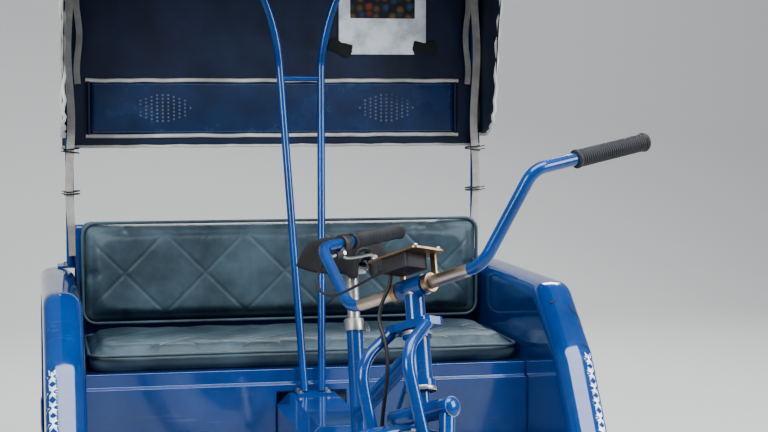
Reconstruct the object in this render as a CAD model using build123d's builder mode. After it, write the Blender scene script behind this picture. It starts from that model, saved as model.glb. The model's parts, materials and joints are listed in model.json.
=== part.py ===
from build123d import *
import os
from math import cos, pi, radians, sin, sqrt, tan

# Cycle rickshaw in millimetres. The front is -Y, the rider's left is +X and the ground is Z 0.
# While it is modelled, Y 0 is the rear axle. The finished pieces are moved along Y at the end,
# so that the origin lies on the ground at the middle of the whole vehicle.

# Wheels
wheel_radius = 335
tyre_width = 50
bead_radius = 290
rim_inner_radius = 270
rim_width = 32
spoke_diameter = 3.0
spoke_count = 36
wheel_plane = 594
rear_axle_height = wheel_radius

# Passenger body
body_half_width = 640
inner_half_width = 548
panel = 5
fender_top = 760
fender_gap = 42
fender_round = 60
fender_edge = 30
floor_top = 230
floor_front = -790
seat_front = -345
seat_top = 554
ledge_height = 34
ledge_depth = 20
hump_half_width = 85
hump_top = 500
back_face = 80
back_thickness = 100
back_top = 895
cushion_thickness = 58
cushion_gap = 0.3
battery_x = 120
battery_y = -205
battery_width = 220
battery_length = 250
battery_tall = 160
rear_end = 392
rear_shelf = 640
plate_level = 430
plate_width = 240
plate_tall = 150
plate_thickness = 3
lamp_x = 400
lamp_level = 470
lamp_radius = 42

# Frame tubes
rail_diameter = 38
rail_spacing = 230
rail_height = floor_top - panel - rail_diameter / 2
rail_front = -760
rail_rear = 372
spine_diameter = 50
main_tube_diameter = 38
seat_tube_diameter = 34
seat_post_diameter = 27.2
seat_post_reach = 113
saddle_height = 910
saddle_thickness = 52
seat_tube_top = saddle_height - saddle_thickness - seat_post_reach
saddle_length = 270
saddle_width = 205
axle_tube_diameter = 44
stub_diameter = 20
stub_reach = 638

# Crank and chain
crank_y = -1030
crank_height = 290
crank_length = 165
seat_angle = 75
spindle_radius = 8
bracket_radius = 22
bracket_half = 37
pitch_radius_front = 73
pitch_radius_rear = 44.5
chain_half_height = 4
chain_width = 8
chain_x = -48
pedal_length = 92
pedal_depth = 84
pedal_height = 24
arm_face = 62
arm_thickness = 12
crank_angle = 35

# Steering. Its own frame has Z up the steering axis and its origin where the handlebar crosses it.
rake = 20
bar_y = -1480
bar_height = 880
park_turn = -60
fork_offset = 50
head_top = -80
head_bottom = -180
head_diameter = 44
head_bore = 30
steerer_diameter = 28.6
stem_radius = 18
leg_spacing = 62
leg_diameter = 28
crown_drop = 226
crown_radius = 18
bow_diameter = 22
bar_diameter = 22.2
grip_diameter = 32
grip_length = 165
front_axle_diameter = 14
motor_radius = 118
motor_half_width = 30
front_fender_radius = 352
front_fender_half_width = 42
front_fender_sheet = 3
lever_cable_diameter = 5
motor_cable_diameter = 7

# Canopy
hoop_diameter = 22
hoop_x = inner_half_width + hoop_diameter / 2 + 1
hoop_y = 235
canopy_half_width = hoop_x + 19
canopy_crown = 1886
canopy_drop = 100
canopy_front = -640
canopy_rear = 252
cloth = 6
hem_height = 1080
board_x = 298
board_level = 1502
board_width = 246
board_tall = 340
middle_bow_y = -190
post_foot_y = -374
post_foot_spacing = 42
post_foot_depth = 54
post_diameter = 19
crossbar_height = 1262
crossbar_diameter = 14
post_waist = 52

running_gap = 0.3
pieces = {}


def keep(name, shape, place=None):
    """Label one finished sub-part and put it in the list of pieces."""
    piece = shape if place is None else shape.moved(place)
    piece.label = name
    pieces[name] = piece
    return piece


def tube(points, diameter, bend=None):
    """A round tube along straight runs, with arcs of the given radius between them."""
    with BuildPart() as swept:
        with BuildLine() as route:
            if bend is None:
                Polyline(*points)
            else:
                FilletPolyline(*points, radius=bend)
        with BuildSketch(Plane(origin=route.wires()[0] @ 0, z_dir=route.wires()[0] % 0)):
            Circle(diameter / 2)
        sweep()
    return swept.part


def cable(points, diameter):
    """A cable along straight runs joined by tangent arcs, each as large as its two runs allow."""
    corners = [Vector(*point) for point in points]
    runs = [after - before for before, after in zip(corners, corners[1:])]
    radii = []
    for before, after in zip(runs, runs[1:]):
        half_turn = radians(before.get_angle(after)) / 2
        radii.append(0.45 * min(before.length, after.length) / tan(half_turn))
    with BuildPart() as swept:
        with BuildLine() as route:
            FilletPolyline(*points, radius=radii)
        with BuildSketch(Plane(origin=corners[0], z_dir=runs[0])):
            Circle(diameter / 2)
        sweep()
    length = route.wires()[0].length
    share = swept.part.volume / (pi * diameter ** 2 / 4 * length)
    print("cable length", round(length), "least radius", round(min(radii), 1), "volume share", round(share, 4))
    return swept.part


def less(shape, *others):
    """The shape with the room that other pieces take cut out of it."""
    with BuildPart() as cut:
        add(shape)
        for other in others:
            add(other, mode=Mode.SUBTRACT)
    return cut.part


def tyre():
    """A tyre about the Z axis, with flats for its tread, shoulders and sidewalls."""
    half = tyre_width / 2
    # distance out from the bead towards the tread, half the width there
    section = [(0, 0.68), (19, 1.0), (36, 0.78)]
    outline = [(bead_radius + out, half * share) for out, share in section]
    with BuildPart() as ring:
        with BuildSketch(Plane.XZ):
            with BuildLine():
                Polyline(*outline, (wheel_radius, 0), *[(r, -w) for r, w in reversed(outline)], close=True)
            make_face()
        revolve(axis=Axis.Z)
    return ring.part


def spoke_ends(index, flange_radius, flange_reach, cross):
    """Where one spoke leaves the hub and where it meets the rim."""
    side = 1 if index % 2 else -1
    lean = 1 if (index // 2) % 2 else -1
    angle = radians(360 * index / spoke_count)
    hub_angle = angle - lean * radians(cross)
    reach = side * (flange_reach + lean * spoke_diameter)
    start = Vector(flange_radius * cos(hub_angle), flange_radius * sin(hub_angle), reach)
    end_radius = rim_inner_radius + 2
    end = Vector(end_radius * cos(angle), end_radius * sin(angle), side * 3)
    return start, end


def wire_wheel(hub_outline, bore_radius, flange_radius, flange_reach, cross):
    """Rim, spokes and hub about the Z axis as one piece."""
    hub_reach = hub_outline[-1][1]
    with BuildPart() as wheel:
        with BuildSketch(Plane.XZ):
            with BuildLine():
                Polyline((0, hub_reach), *reversed(hub_outline), *[(r, -z) for r, z in hub_outline[1:]],
                         (0, -hub_reach), close=True)
            make_face()
        revolve(axis=Axis.Z)
        with BuildSketch(Plane.XZ):
            with Locations(((rim_inner_radius + bead_radius) / 2, 0)):
                Rectangle(bead_radius - rim_inner_radius, rim_width)
        revolve(axis=Axis.Z)
        for index in range(spoke_count):
            start, end = spoke_ends(index, flange_radius, flange_reach, cross)
            with BuildSketch(Plane(origin=start, z_dir=end - start)):
                Circle(spoke_diameter / 2)
        extrude(amount=(end - start).length)
        with Locations((0, 0, 0)):
            Hole(bore_radius)
    return wheel.part


# Rear wheels
rear_hub = [(28, 0), (28, 22), (46, 24), (46, 28), (24, 30), (24, 34)]
rear_places = {
    "left": Plane(origin=(wheel_plane, 0, rear_axle_height), x_dir=(0, 1, 0), z_dir=(1, 0, 0)).location,
    "right": Plane(origin=(-wheel_plane, 0, rear_axle_height), x_dir=(0, 1, 0), z_dir=(-1, 0, 0)).location,
}
plain_tyre = tyre()
rear_wire = wire_wheel(rear_hub, stub_diameter / 2 + running_gap, 42, 23, 55)
for side, place in rear_places.items():
    keep("rear_tyre_" + side, plain_tyre, place)
    keep("rear_wheel_" + side, rear_wire, place)

# Rear axle with its hangers and the nuts at its ends
with BuildPart() as rear_axle:
    with BuildSketch(Plane.YZ.offset(-inner_half_width + 12)):
        with Locations((0, rear_axle_height)):
            Circle(axle_tube_diameter / 2)
    extrude(amount=2 * inner_half_width - 24)
    with BuildSketch(Plane.YZ.offset(-stub_reach)):
        with Locations((0, rear_axle_height)):
            Circle(stub_diameter / 2)
    extrude(amount=2 * stub_reach)
    nut_inner = wheel_plane + rear_hub[-1][1] + 1
    for side in (-1, 1):
        with BuildSketch(Plane.YZ.offset(side * nut_inner)):
            with Locations((0, rear_axle_height)):
                RegularPolygon(15, 6)
        extrude(amount=side * (stub_reach - 3 - nut_inner))
        with BuildSketch(Plane.YZ.offset(side * rail_spacing - 6)):
            with BuildLine():
                Polyline((-60, rail_height + rail_diameter / 2), (-26, rear_axle_height + 26),
                         (26, rear_axle_height + 26), (60, rail_height + rail_diameter / 2), close=True)
            make_face()
        extrude(amount=12)
keep("rear_axle", rear_axle.part)

# Drum of the differential with its sprocket, on the axle tube
with BuildPart() as drive_drum:
    with BuildSketch(Plane.YZ.offset(-40)):
        with Locations((0, rear_axle_height)):
            Circle(56)
    extrude(amount=80)
    with BuildSketch(Plane.YZ.offset(chain_x - 2)):
        with Locations((0, rear_axle_height)):
            Circle(pitch_radius_rear - chain_half_height - running_gap)
    extrude(amount=-chain_x - 38)
    with BuildSketch(Plane.YZ.offset(-60)):
        with Locations((0, rear_axle_height)):
            Circle(axle_tube_diameter / 2)
    extrude(amount=120, mode=Mode.SUBTRACT)
keep("drive_drum", drive_drum.part)

# Chain as a closed band round both sprockets
with BuildPart() as chain:
    for offset, mode in ((chain_half_height, Mode.ADD), (-chain_half_height, Mode.SUBTRACT)):
        with BuildSketch(Plane.YZ.offset(chain_x - chain_width / 2)):
            with Locations((crank_y, crank_height)):
                Circle(pitch_radius_front + offset)
            with Locations((0, rear_axle_height)):
                Circle(pitch_radius_rear + offset)
            make_hull()
        extrude(amount=chain_width, mode=mode)
keep("chain", chain.part)

# Crank set about the X axis through the bottom bracket
with BuildPart() as crankset:
    with BuildSketch(Plane.YZ.offset(-arm_face - arm_thickness)):
        Circle(spindle_radius)
    extrude(amount=2 * (arm_face + arm_thickness))
    with BuildSketch(Plane.YZ.offset(chain_x - 2)):
        Circle(pitch_radius_front - chain_half_height - 1)
        with PolarLocations(42, 5):
            Circle(15, mode=Mode.SUBTRACT)
    extrude(amount=4)
    with BuildSketch(Plane.YZ.offset(-arm_face)):
        Circle(20)
    extrude(amount=arm_face + chain_x + 2)
    for side, turn in ((-1, crank_angle), (1, crank_angle + 180)):
        tip = (-crank_length * cos(radians(turn)), crank_length * sin(radians(turn)))
        with BuildSketch(Plane.YZ.offset(side * arm_face)):
            Circle(17)
            with Locations(tip):
                Circle(13)
            make_hull()
        extrude(amount=side * arm_thickness)
        with BuildSketch(Plane.YZ.offset(side * (arm_face + arm_thickness))):
            with Locations(tip):
                Circle(6)
        extrude(amount=side * (pedal_length + 10))
keep("crankset", crankset.part, Location((0, crank_y, crank_height)))

# Pedals with a window each side of the pin
with BuildPart() as pedal:
    with BuildSketch(Plane.YZ):
        RectangleRounded(pedal_depth, pedal_height, 8)
    extrude(amount=pedal_length)
    with BuildSketch(Plane.XY.offset(-pedal_height)):
        with Locations((pedal_length / 2, pedal_depth / 4 + 2), (pedal_length / 2, -pedal_depth / 4 - 2)):
            Rectangle(pedal_length - 30, pedal_depth / 2 - 22)
    extrude(amount=2 * pedal_height, mode=Mode.SUBTRACT)
    with BuildSketch(Plane.YZ):
        Circle(6 + running_gap)
    extrude(amount=pedal_length, mode=Mode.SUBTRACT)
pedal_inner = arm_face + arm_thickness + 8
for side, name in ((-1, "pedal_right"), (1, "pedal_left")):
    turn = crank_angle + (180 if side > 0 else 0)
    pin_y = crank_y - crank_length * cos(radians(turn))
    pin_z = crank_height + crank_length * sin(radians(turn))
    start = pedal_inner if side > 0 else -pedal_inner - pedal_length
    keep(name, pedal.part, Location((start, pin_y, pin_z)))

# Rails, cross tubes and the spine that carries the rider's end
cross_rows = [rail_front, -320, -90, rail_rear - 30]
with BuildPart() as frame_rails:
    for side in (-1, 1):
        with BuildSketch(Plane.XZ.offset(-rail_rear)):
            with Locations((side * rail_spacing, rail_height)):
                Circle(rail_diameter / 2)
        extrude(amount=rail_rear - rail_front + rail_diameter / 2)
keep("frame_rails", frame_rails.part)

with BuildPart() as frame_crossbars:
    for row in cross_rows:
        with BuildSketch(Plane.YZ.offset(-rail_spacing)):
            with Locations((row, rail_height)):
                Circle(rail_diameter / 2)
        extrude(amount=2 * rail_spacing)
    add(frame_rails.part, mode=Mode.SUBTRACT)
keep("frame_crossbars", frame_crossbars.part)

spine_tube = tube([(0, rail_front, rail_height), (0, crank_y + 60, crank_height - 28), (0, crank_y, crank_height)],
                  spine_diameter, 80)
seat_lean = 1 / tan(radians(seat_angle))
seat_tube_end = crank_y + (seat_tube_top - crank_height) * seat_lean
with BuildPart() as seat_tube:
    add(tube([(0, crank_y, crank_height), (0, seat_tube_end, seat_tube_top)], seat_tube_diameter))
    with BuildSketch(Plane.YZ.offset(-bracket_half)):
        with Locations((crank_y, crank_height)):
            Circle(bracket_radius)
    extrude(amount=2 * bracket_half)
    with BuildSketch(Plane.YZ.offset(-bracket_half)):
        with Locations((crank_y, crank_height)):
            Circle(spindle_radius + running_gap)
    extrude(amount=2 * bracket_half, mode=Mode.SUBTRACT)
keep("seat_tube", seat_tube.part)
with BuildPart() as bracket_room:
    with BuildSketch(Plane.YZ.offset(-bracket_half)):
        with Locations((crank_y, crank_height)):
            Circle(bracket_radius)
    extrude(amount=2 * bracket_half)
keep("frame_spine", less(spine_tube, seat_tube.part, bracket_room.part, frame_crossbars.part))

# Steering frame
axis_up = Vector(0, sin(radians(rake)), cos(radians(rake)))
axis_back = Vector(0, cos(radians(rake)), -sin(radians(rake)))
turn = radians(park_turn)
axle_way = Vector(1, 0, 0) * cos(turn) + axis_back * sin(turn)
steer_place = Plane(origin=(0, bar_y, bar_height), x_dir=axle_way, z_dir=axis_up).location
straight_place = Plane(origin=(0, bar_y, bar_height), x_dir=(1, 0, 0), z_dir=axis_up).location

# The turned wheel leans. Its axle drops until the tread just meets the ground.
lean_share = sqrt(1 - axle_way.Z ** 2)
hub_height = wheel_radius * lean_share
offset_rise = fork_offset * sin(radians(rake)) * cos(turn)
axle_drop = (bar_height + offset_rise - hub_height) / cos(radians(rake))


def head_point(axial):
    """A point on the steering axis, the given distance above the handlebar."""
    return Vector(0, bar_y, bar_height) + axis_up * axial


# Head tube and the two tubes that join it to the seat tube
with BuildPart() as head_tube:
    with BuildSketch(Plane.XY.offset(head_bottom)):
        Circle(head_diameter / 2)
        Circle(head_bore / 2, mode=Mode.SUBTRACT)
    extrude(amount=head_top - head_bottom)
    for level in (head_bottom, head_top - 12):
        with BuildSketch(Plane.XY.offset(level)):
            Circle(head_diameter / 2 + 4)
            Circle(head_bore / 2, mode=Mode.SUBTRACT)
        extrude(amount=12)
keep("head_tube", head_tube.part, straight_place)
with BuildPart() as head_core:
    with BuildSketch(Plane.XY.offset(head_bottom)):
        Circle(head_diameter / 2 + 4)
    extrude(amount=head_top - head_bottom)
head_room = head_core.part.moved(straight_place)

top_tube_drop = 190
seat_joint = Vector(0, seat_tube_end - top_tube_drop * seat_lean, seat_tube_top - top_tube_drop)
down_tube = tube([head_point(head_bottom + 34), (0, crank_y, crank_height)], main_tube_diameter)
top_tube = tube([head_point(head_top - 28), seat_joint], main_tube_diameter - 6)
keep("down_tube", less(down_tube, head_room, seat_tube.part, bracket_room.part, pieces["frame_spine"]))
keep("top_tube", less(top_tube, head_room, seat_tube.part, pieces["down_tube"]))

# Seat post and saddle
seat_post_top = saddle_height - saddle_thickness
post_y = crank_y + (seat_post_top - crank_height) * seat_lean
seat_post = tube([(0, seat_tube_end, seat_tube_top), (0, post_y, seat_post_top)], seat_post_diameter)
keep("seat_post", less(seat_post, seat_tube.part))
with BuildPart() as saddle:
    with BuildSketch(Plane.XY.offset(saddle_height - saddle_thickness)):
        with Locations((-saddle_width / 5, post_y + 60), (saddle_width / 5, post_y + 60)):
            Circle(saddle_width * 0.3)
        with Locations((0, post_y + 60 + saddle_width * 0.3 - saddle_length + 26)):
            Circle(26)
        make_hull()
    extrude(amount=saddle_thickness)
    fillet(saddle.faces().sort_by(Axis.Z)[-1].edges(), radius=20)
keep("saddle", less(saddle.part, seat_post))

# Fork: crown, legs, end plates and steerer, in the steering frame
axle_point = (0, -fork_offset, -axle_drop)
leg_top = -crown_drop
with BuildPart() as fork:
    with BuildSketch(Plane.YZ.offset(-leg_spacing - leg_diameter / 2)):
        with Locations((0, leg_top)):
            Circle(crown_radius)
    extrude(amount=2 * leg_spacing + leg_diameter)
    for side in (-1, 1):
        add(tube([(side * leg_spacing, 0, leg_top), (side * leg_spacing, -fork_offset, -axle_drop)], leg_diameter))
        with BuildSketch(Plane.YZ.offset(side * leg_spacing - 5)):
            with Locations(axle_point[1:]):
                Circle(24)
            with Locations((axle_point[1] - 24, axle_point[2] + 38)):
                Circle(16)
            make_hull()
        extrude(amount=10)
    with BuildSketch(Plane.XY.offset(leg_top)):
        Circle(steerer_diameter / 2)
    extrude(amount=crown_drop - 60)
    with BuildSketch(Plane.YZ.offset(-leg_spacing - leg_diameter)):
        with Locations(axle_point[1:]):
            Circle(front_axle_diameter / 2)
    extrude(amount=2 * (leg_spacing + leg_diameter), mode=Mode.SUBTRACT)
keep("fork", fork.part, steer_place)

# Front axle with its nuts
axle_reach = leg_spacing + leg_diameter / 2 + 24
with BuildPart() as front_axle:
    with BuildSketch(Plane.YZ.offset(-axle_reach)):
        with Locations(axle_point[1:]):
            Circle(front_axle_diameter / 2)
    extrude(amount=2 * axle_reach)
    for side in (-1, 1):
        with BuildSketch(Plane.YZ.offset(side * (leg_spacing + leg_diameter / 2))):
            with Locations(axle_point[1:]):
                RegularPolygon(13, 6)
        extrude(amount=side * 12)
keep("front_axle", front_axle.part, steer_place)

# Bowed stays from a plate above the head tube to the end plates
# lateral, back and axial place of each corner of one stay
bow_route = [
    (46, -14, head_top + 9),
    (60, -88, head_top - 54),
    (leg_spacing + 2, -58, head_top - 220),
    (leg_spacing + 2, axle_point[1] - 22, -axle_drop + 30),
]
with BuildPart() as fork_bows:
    for side in (-1, 1):
        add(tube([(side * x, y, z) for x, y, z in bow_route], bow_diameter, [70, 260]))
    with BuildSketch(Plane.XY.offset(head_top + 2)):
        with Locations((0, -7)):
            RectangleRounded(116, 46, 12)
    extrude(amount=14)
    with BuildSketch(Plane.XY.offset(head_top)):
        Circle(steerer_diameter / 2)
    extrude(amount=40, mode=Mode.SUBTRACT)
    add(fork.part, mode=Mode.SUBTRACT)
keep("fork_bows", fork_bows.part, steer_place)

# Front wheel with its hub motor
front_hub = [(motor_radius, 0), (motor_radius, 20), (motor_radius - 6, 24), (54, motor_half_width),
             (22, motor_half_width + 2), (22, 40)]
front_plane = Plane(origin=axle_point, x_dir=(0, 1, 0), z_dir=(1, 0, 0)).location
front_place = steer_place * front_plane
keep("front_tyre", plain_tyre, front_place)
front_wire = wire_wheel(front_hub, front_axle_diameter / 2 + running_gap, motor_radius - 4, 15, 14)
keep("front_wheel", front_wire, front_place)

# Front fender about the wheel's axle, from low in front over the top to low behind
fender_start = 8
fender_sweep = 186
with BuildPart() as front_fender:
    with BuildSketch(Plane.XZ):
        edge = front_fender_radius - 12
        half = front_fender_half_width
        outer = front_fender_radius + front_fender_sheet
        with BuildLine():
            top_arc = ThreePointArc((edge + front_fender_sheet, half), (outer, 0), (edge + front_fender_sheet, -half))
            under_arc = ThreePointArc((edge, half), (front_fender_radius, 0), (edge, -half))
            Line(top_arc @ 0, under_arc @ 0)
            Line(top_arc @ 1, under_arc @ 1)
        make_face()
    revolve(axis=Axis.Z, revolution_arc=fender_sweep)
    stay_reach = leg_spacing - 8
    # angle round the wheel from the fender's front edge
    for stay_angle in (12, 150):
        foot = Vector(18 * cos(radians(stay_angle)), 18 * sin(radians(stay_angle)), 0)
        tip = Vector(cos(radians(stay_angle)), sin(radians(stay_angle)), 0) * (edge + 2)
        for side in (-1, 1):
            start = foot + Vector(0, 0, side * (stay_reach - 4))
            end = tip + Vector(0, 0, side * (half - 1))
            with BuildSketch(Plane(origin=start, x_dir=(0, 0, 1), z_dir=end - start)):
                Rectangle(3, 14)
            extrude(amount=(end - start).length)
fender_plane = Plane(origin=axle_point, x_dir=(0, -cos(radians(fender_start)), sin(radians(fender_start))),
                     z_dir=(-1, 0, 0)).location
with BuildPart() as fender_seat:
    add(front_fender.part.moved(fender_plane))
    with BuildSketch(Plane.XY.offset(leg_top - 30)):
        with Locations((0, -4)):
            Circle(12)
    extrude(amount=24)
    add(fork.part, mode=Mode.SUBTRACT)
keep("front_fender", fender_seat.part, steer_place)

# Stem, handlebar, grips, lever and console bracket
with BuildPart() as stem:
    with BuildSketch(Plane.XY.offset(head_top + 16)):
        Circle(stem_radius)
    extrude(amount=-head_top - 30)
    with BuildSketch(Plane.YZ.offset(-32)):
        Circle(19)
    extrude(amount=64)
    with BuildSketch(Plane.YZ.offset(-40)):
        Circle(bar_diameter / 2)
    extrude(amount=80, mode=Mode.SUBTRACT)
    add(fork.part, mode=Mode.SUBTRACT)
keep("stem", stem.part, steer_place)

bend_x = 176
riser_top = Vector(286, 32, 146)
grip_way = Vector(44, 246, 76)
bar_end = riser_top + grip_way
half_bar = [(bend_x, 0, 0), tuple(riser_top), tuple(bar_end)]
bar_route = [(-x, y, z) for x, y, z in reversed(half_bar)] + half_bar
handlebar = tube(bar_route, bar_diameter, [40, 55, 55, 40])
keep("handlebar", handlebar, steer_place)

with BuildPart() as grips:
    for side in (-1, 1):
        end = Vector(side * bar_end.X, bar_end.Y, bar_end.Z)
        way = Vector(side * grip_way.X, grip_way.Y, grip_way.Z).normalized()
        with BuildSketch(Plane(origin=end + way * 6, z_dir=way * -1)):
            Circle(grip_diameter / 2)
        extrude(amount=grip_length + 6)
    add(handlebar, mode=Mode.SUBTRACT)
keep("grips", grips.part, steer_place)

# One brake lever, on the rider's right
with BuildPart() as brake_lever:
    way = Vector(-grip_way.X, grip_way.Y, grip_way.Z).normalized()
    clamp = Vector(-bar_end.X, bar_end.Y, bar_end.Z) - way * (grip_length + 26)
    down = Vector(0, -0.3, -1).normalized()
    with BuildSketch(Plane(origin=clamp - way * 9, z_dir=way)):
        Circle(grip_diameter / 2 + 1)
    extrude(amount=18)
    pivot = clamp + down * 24
    tip = pivot + way * 118 + down * 22
    with BuildSketch(Plane(origin=pivot - way * 14, x_dir=(1, 0, 0), z_dir=tip - pivot)):
        RectangleRounded(16, 11, 3)
    extrude(amount=132)
    add(handlebar, mode=Mode.SUBTRACT)
keep("brake_lever", brake_lever.part, steer_place)

with BuildPart() as console_bracket:
    with BuildSketch(Plane.XZ.offset(-16)):
        with BuildLine():
            Polyline((-62, 58), (62, 58), (62, 54), (-62, 54), close=True)
        make_face()
        for side in (-1, 1):
            with Locations((side * 42, 30)):
                Rectangle(12, 56)
    extrude(amount=4)
    with BuildSketch(Plane.XY.offset(54)):
        with Locations((0, -14)):
            RectangleRounded(130, 74, 8)
    extrude(amount=4)
    for side in (-1, 1):
        with BuildSketch(Plane.YZ.offset(side * 42 - 6)):
            Circle(17)
        extrude(amount=12)
    add(handlebar, mode=Mode.SUBTRACT)
keep("console_bracket", console_bracket.part, steer_place)

# Case of the motor's controller, hung under the bracket's plate
case_half_width = 34
case_bottom = 28
case_front = -44
case_back = 8
with BuildPart() as controller_case:
    with BuildSketch(Plane.XY.offset(case_bottom)):
        with Locations((0, (case_front + case_back) / 2)):
            RectangleRounded(2 * case_half_width, case_back - case_front, 6)
    extrude(amount=54 - case_bottom)
keep("controller_case", controller_case.part, steer_place)

# Cables that ride on the steering: the brake lever's into the case, and the motor's down the right leg.
# lateral, back and axial place of each corner; the lever's is written for the left and mirrored
lever_route = [
    (case_half_width, -20, 40), (62, -22, 39), (112, -34, 26), (170, -42, 16), (222, -32, 36), (262, -8, 72),
    (284, 22, 100), (293, 50, 122), (295.5, 78.0, 139.3),
]
motor_route = [
    (-24, -30, case_bottom), (-26, -33, 4), (-40, -42, -20), (-51, -45, -54), (-33, -46, -94), (-32, -45, -134),
    (-45, -41, -172), (-63, -35, -206), (-80, -29, -242), (-83, -24, -288), (-83, -27, -342), (-85, -33, -398),
    (-84, -40, -452), (-88, -44, -500), (-103, -46, -540), (-121, -48, -569), (-129, -50, -593), (-119, -50, -608),
    (-100, -50, -606),
]
with BuildPart() as control_cables:
    add(cable([(-x, y, z) for x, y, z in lever_route], lever_cable_diameter))
    add(cable(motor_route, motor_cable_diameter))
    for neighbour in (controller_case, brake_lever, front_axle):
        add(neighbour.part, mode=Mode.SUBTRACT)
keep("control_cables", control_cables.part, steer_place)

# Floor pan with its open hump, and the seat box with two ledges
floor_bottom = floor_top - panel
chain_clear = crank_height + pitch_radius_front + 25
with BuildPart() as floor_pan:
    for side in (-1, 1):
        with BuildSketch(Plane.XZ.offset(-seat_front)):
            with BuildLine():
                Polyline((side * inner_half_width, floor_bottom), (side * inner_half_width, floor_top),
                         (side * hump_half_width, floor_top), (side * hump_half_width, hump_top - 30),
                         (side * (hump_half_width - 30), hump_top), (0, hump_top), (0, hump_top - panel),
                         (side * (hump_half_width - 32), hump_top - panel),
                         (side * (hump_half_width - panel), hump_top - 32),
                         (side * (hump_half_width - panel), floor_bottom), close=True)
            make_face()
        extrude(amount=seat_front - floor_front)
    front_wall = Plane.XZ.offset(-floor_front - panel)
    with BuildSketch(front_wall):
        with BuildLine():
            Polyline((-hump_half_width + panel, chain_clear), (-hump_half_width + panel, hump_top - 32),
                     (-hump_half_width + 32, hump_top - panel), (hump_half_width - 32, hump_top - panel),
                     (hump_half_width - panel, hump_top - 32), (hump_half_width - panel, chain_clear),
                     close=True)
        make_face()
    extrude(amount=panel)
    for side in (-1, 1):
        with BuildSketch(front_wall):
            with Locations((side * (inner_half_width + hump_half_width) / 2, floor_top + 30)):
                Rectangle(inner_half_width - hump_half_width, 60)
        extrude(amount=panel)
keep("floor_pan", floor_pan.part)

step_y = seat_front + ledge_depth
step_z = seat_top - ledge_height
box_outline = [
    (seat_front, floor_bottom), (seat_front, step_z), (step_y, step_z), (step_y, seat_top), (back_face + 110, seat_top),
    (back_face + 110, seat_top - panel), (step_y + panel, seat_top - panel), (step_y + panel, step_z - panel),
    (seat_front + panel, step_z - panel), (seat_front + panel, floor_bottom),
]
with BuildPart() as seat_box:
    with BuildSketch(Plane.YZ.offset(-inner_half_width)):
        with BuildLine():
            Polyline(*box_outline, close=True)
        make_face()
    extrude(amount=2 * inner_half_width)
    with BuildSketch(Plane.XZ.offset(-seat_front - 60)):
        with Locations((0, (floor_bottom + hump_top) / 2)):
            Rectangle(2 * hump_half_width, hump_top - floor_bottom)
    extrude(amount=60 + 1, mode=Mode.SUBTRACT)
keep("seat_box", seat_box.part)

# Rear panel: over the back of the bench, down a slope and down to the rails
panel_front = back_face + back_thickness + running_gap + panel / 2
panel_outline = [
    (panel_front, seat_top), (panel_front, back_top - 22),
    (back_face + back_thickness + 40, back_top - 22), (rear_end - 14, rear_shelf), (rear_end, rear_shelf - 40),
    (rear_end, floor_bottom + panel / 2), (rear_end - 60, floor_bottom + panel / 2),
]
with BuildPart() as rear_panel:
    with BuildSketch(Plane.YZ.offset(-inner_half_width)):
        with BuildLine() as panel_line:
            FilletPolyline(*panel_outline, radius=12)
        trace(panel_line.wires()[0], line_width=panel)
    extrude(amount=2 * inner_half_width)
keep("rear_panel", rear_panel.part)


def fender_outline(inset):
    """Side outline of a rear fender, from low in front over the wheel to low behind."""
    return [
        (-905 + 2 * inset, floor_bottom + inset), (-880 + inset, floor_bottom + 38 + inset),
        (-720 + inset, 430), (-590 + inset, 615), (-405 + inset / 2, fender_top - inset),
        (240, fender_top - inset), (372 - inset, 640), (398 - inset, 520), (398 - inset, 300 + inset),
        (300, floor_bottom + inset),
    ]


def fender_body(x_inner, x_outer, inset):
    """A solid with the fender's side outline, rounded along its outer edge."""
    with BuildPart() as body:
        with BuildSketch(Plane.YZ.offset(x_inner)):
            with BuildLine():
                Polyline(*fender_outline(inset), close=True)
            make_face()
            fillet([v for v in vertices() if v.Z > 400], radius=fender_round)
        extrude(amount=x_outer - x_inner)
        rim = [e for e in body.faces().sort_by(Axis.X)[-1].edges() if e.center().Z > floor_bottom + inset + 8]
        fillet(rim, radius=min(fender_edge - inset, (x_outer - x_inner) / 3))
    return body.part


fender_outer = fender_body(inner_half_width, body_half_width, 0)
fender_inner = fender_body(inner_half_width + panel, body_half_width - panel, panel)
arch_radius = wheel_radius + fender_gap
with BuildPart() as fender_left:
    add(fender_outer)
    add(fender_inner, mode=Mode.SUBTRACT)
    with BuildSketch(Plane.YZ.offset(inner_half_width + panel)):
        with Locations((0, floor_bottom)):
            Rectangle(2 * arch_radius - 60, 100)
    extrude(amount=body_half_width, mode=Mode.SUBTRACT)
    with BuildSketch(Plane.YZ.offset(inner_half_width + panel)):
        with Locations((0, rear_axle_height)):
            Circle(arch_radius)
    extrude(amount=body_half_width, mode=Mode.SUBTRACT)
    with BuildSketch(Plane.YZ.offset(inner_half_width - 5)):
        with Locations((0, rear_axle_height)):
            Circle(30)
    extrude(amount=20, mode=Mode.SUBTRACT)
keep("fender_left", fender_left.part)
keep("fender_right", fender_left.part.mirror(Plane.YZ))

# Cushions as plain closed forms
with BuildPart() as seat_cushion:
    depth = back_face - cushion_gap - (step_y + 6)
    with BuildSketch(Plane.XY.offset(seat_top + cushion_gap)):
        with Locations((0, step_y + 6 + depth / 2)):
            RectangleRounded(2 * inner_half_width - 12, depth, 30)
    extrude(amount=cushion_thickness)
    fillet(seat_cushion.faces().sort_by(Axis.Z)[-1].edges(), radius=16)
keep("seat_cushion", seat_cushion.part)

with BuildPart() as back_cushion:
    bottom = seat_top + cushion_thickness + 2 * cushion_gap
    with BuildSketch(Plane.XZ.offset(-back_face)):
        with Locations((0, (bottom + back_top) / 2)):
            RectangleRounded(2 * inner_half_width - 12, back_top - bottom, 46)
    extrude(amount=-back_thickness)
    fillet(back_cushion.faces().sort_by(Axis.Y)[0].edges(), radius=24)
keep("back_cushion", back_cushion.part)

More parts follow.
